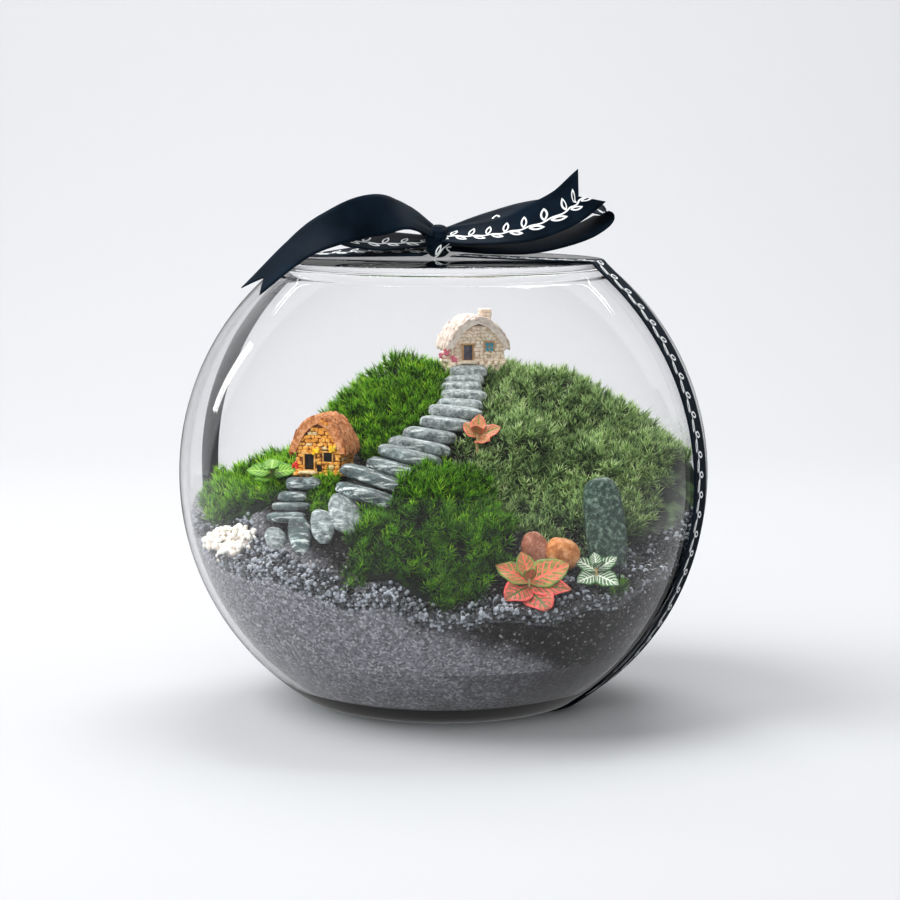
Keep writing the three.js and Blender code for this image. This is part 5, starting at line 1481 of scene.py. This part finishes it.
bowPieces = [
    {"node": "bow_tail_left", "steps": 90, "notch": 9, "flip": False,
     "path": [(-4.5, -3.5, 224.6), (-17, -7.5, 231.5), (-33, -11, 232), (-50, -17, 226.8), (-66, -26, 218),
              (-88.5, -36, 198.5)],
     "across": [(0.05, 0.9, 0.42), (0.05, 0.85, 0.5), (0, 0.25, 0.97), (-0.2, 0.6, 0.75), (-0.35, 0.8, 0.42),
                (-0.3, 0.92, 0.25)]},
    {"node": "bow_tail_right", "steps": 80, "notch": 8, "flip": False,
     "path": [(0.5, -4.5, 222.5), (14, -8.5, 223.2), (27, -10, 224.7), (41, -11.5, 228.4), (57, -12, 235.8), (69, -12, 246)],
     "across": [(-0.1, 0.85, 0.5), (-0.1, 0.85, 0.45), (-0.15, 0.8, 0.55), (-0.4, 0.6, 0.7), (-0.62, 0.4, 0.68),
                (-0.93, 0, 0.34)]},
    {"node": "bow_loop_left", "steps": 100, "notch": 0, "flip": False,
     "path": [(-5, 5.5, 222), (-20, 9.5, 233.5), (-34, 12, 236), (-48, 13, 230), (-48, 12, 222.5), (-34, 9, 219),
              (-20, 6.5, 218.8), (-5.5, 4, 219)],
     "across": [(0.1, 0.93, 0.35), (0.1, 0.93, 0.38), (0.1, 0.93, 0.38), (0.15, 0.9, 0.38), (0.15, 0.9, 0.38),
                (0.1, 0.93, 0.38), (0.1, 0.93, 0.38), (0.1, 0.93, 0.35)]},
    {"node": "bow_loop_right", "steps": 130, "notch": 0, "flip": False,
     "path": [(0, 4.5, 222), (22, 11.5, 228.5), (46, 15, 234), (68, 17.5, 235.5), (77, 18, 231.5), (70, 16, 225.5),
              (46, 11, 218.6), (24, 7.5, 217), (0.5, 4, 217.6)],
     "across": [(-0.05, 0.93, 0.35), (-0.1, 0.92, 0.38), (-0.12, 0.92, 0.36), (-0.15, 0.93, 0.32), (-0.15, 0.93, 0.32),
                (-0.15, 0.93, 0.34), (-0.1, 0.92, 0.38), (-0.1, 0.92, 0.38), (-0.05, 0.93, 0.35)]},
]


def bowPlace(bow):
    path = [Vector(p) for p in bow["path"]]
    wide = [Vector(p) for p in bow["across"]]

    def place(u, v):
        at = threeWay(path, u)
        along = (threeWay(path, min(1, u + 0.002)) - threeWay(path, max(0, u - 0.002))).normalized()
        across = threeWay(wide, u)
        across = (across - along * across.dot(along)).normalized()
        face = along.cross(across)
        ease = min(1, 5 * (u if bow["notch"] else min(u, 1 - u)))
        pinch = 0.6 + 0.4 * ease
        back = bow["notch"] * (1 - abs(v)) * max(0, (u - 0.8) / 0.2)  # the swallow-tail cut
        curl = 0.7 * (v * v - 0.4) * ease + (1 - ease) * 0.5 * math.cos(v * 7)  # bowed across, gathered at the knot
        return at + across * v * ribbon["width"] / 2 * pinch - along * back + face * curl

    length = sum((threeWay(path, (i + 1) / 200) - threeWay(path, i / 200)).length for i in range(200))
    return place, length


for bow in bowPieces:
    placeBow, bowLength = bowPlace(bow)
    name = "ribbon" + "".join(word.capitalize() for word in bow["node"].split("_"))
    ribbonPiece(name, bow["node"], bow["steps"], placeBow, bowLength, bow["notch"], bow["flip"])

knot = {"at": (-2.5, -1, 219.6), "size": (13, 15, 15.5)}


def knotPlace(t, angle):
    # slanting folds run round the knot, as the strip that is pulled over it leaves them
    out = max(0, math.sin(t * math.pi)) ** 0.8
    wrap = t * 15 + 1.5 * math.sin(angle + 0.6) + 0.6 * math.sin(2 * angle)
    fold = 0.55 * (1 - 2 * abs((wrap / 2.1) % 1 - 0.5)) ** 0.6 + 0.25 * math.sin(5 * angle + 3 * t)
    return (knot["at"][0] + (knot["size"][0] / 2 - 0.5 + fold) * out * math.cos(angle),
            knot["at"][1] + (knot["size"][1] / 2 - 0.5 + fold) * out * math.sin(angle),
            knot["at"][2] + knot["size"][2] / 2 * math.cos(t * math.pi))


bm = bmesh.new()
sphereForm(bm, 90, 72, knotPlace)
clothMap = bm.loops.layers.uv.new("clothMap")
for face in bm.faces:
    for loop in face.loops:
        point = loop.vert.co / mm - Vector(knot["at"])
        loop[clothMap].uv = (point.x * 0.8 + point.z * 0.8 + 3, point.x * 0.9 - point.z * 0.9 - 7)
ribbonKnot = finishPiece("ribbonKnot", bm, [printedSatin], ["ribbon_knot"])

width = ribbon["width"] * mm
print("ribbon made")
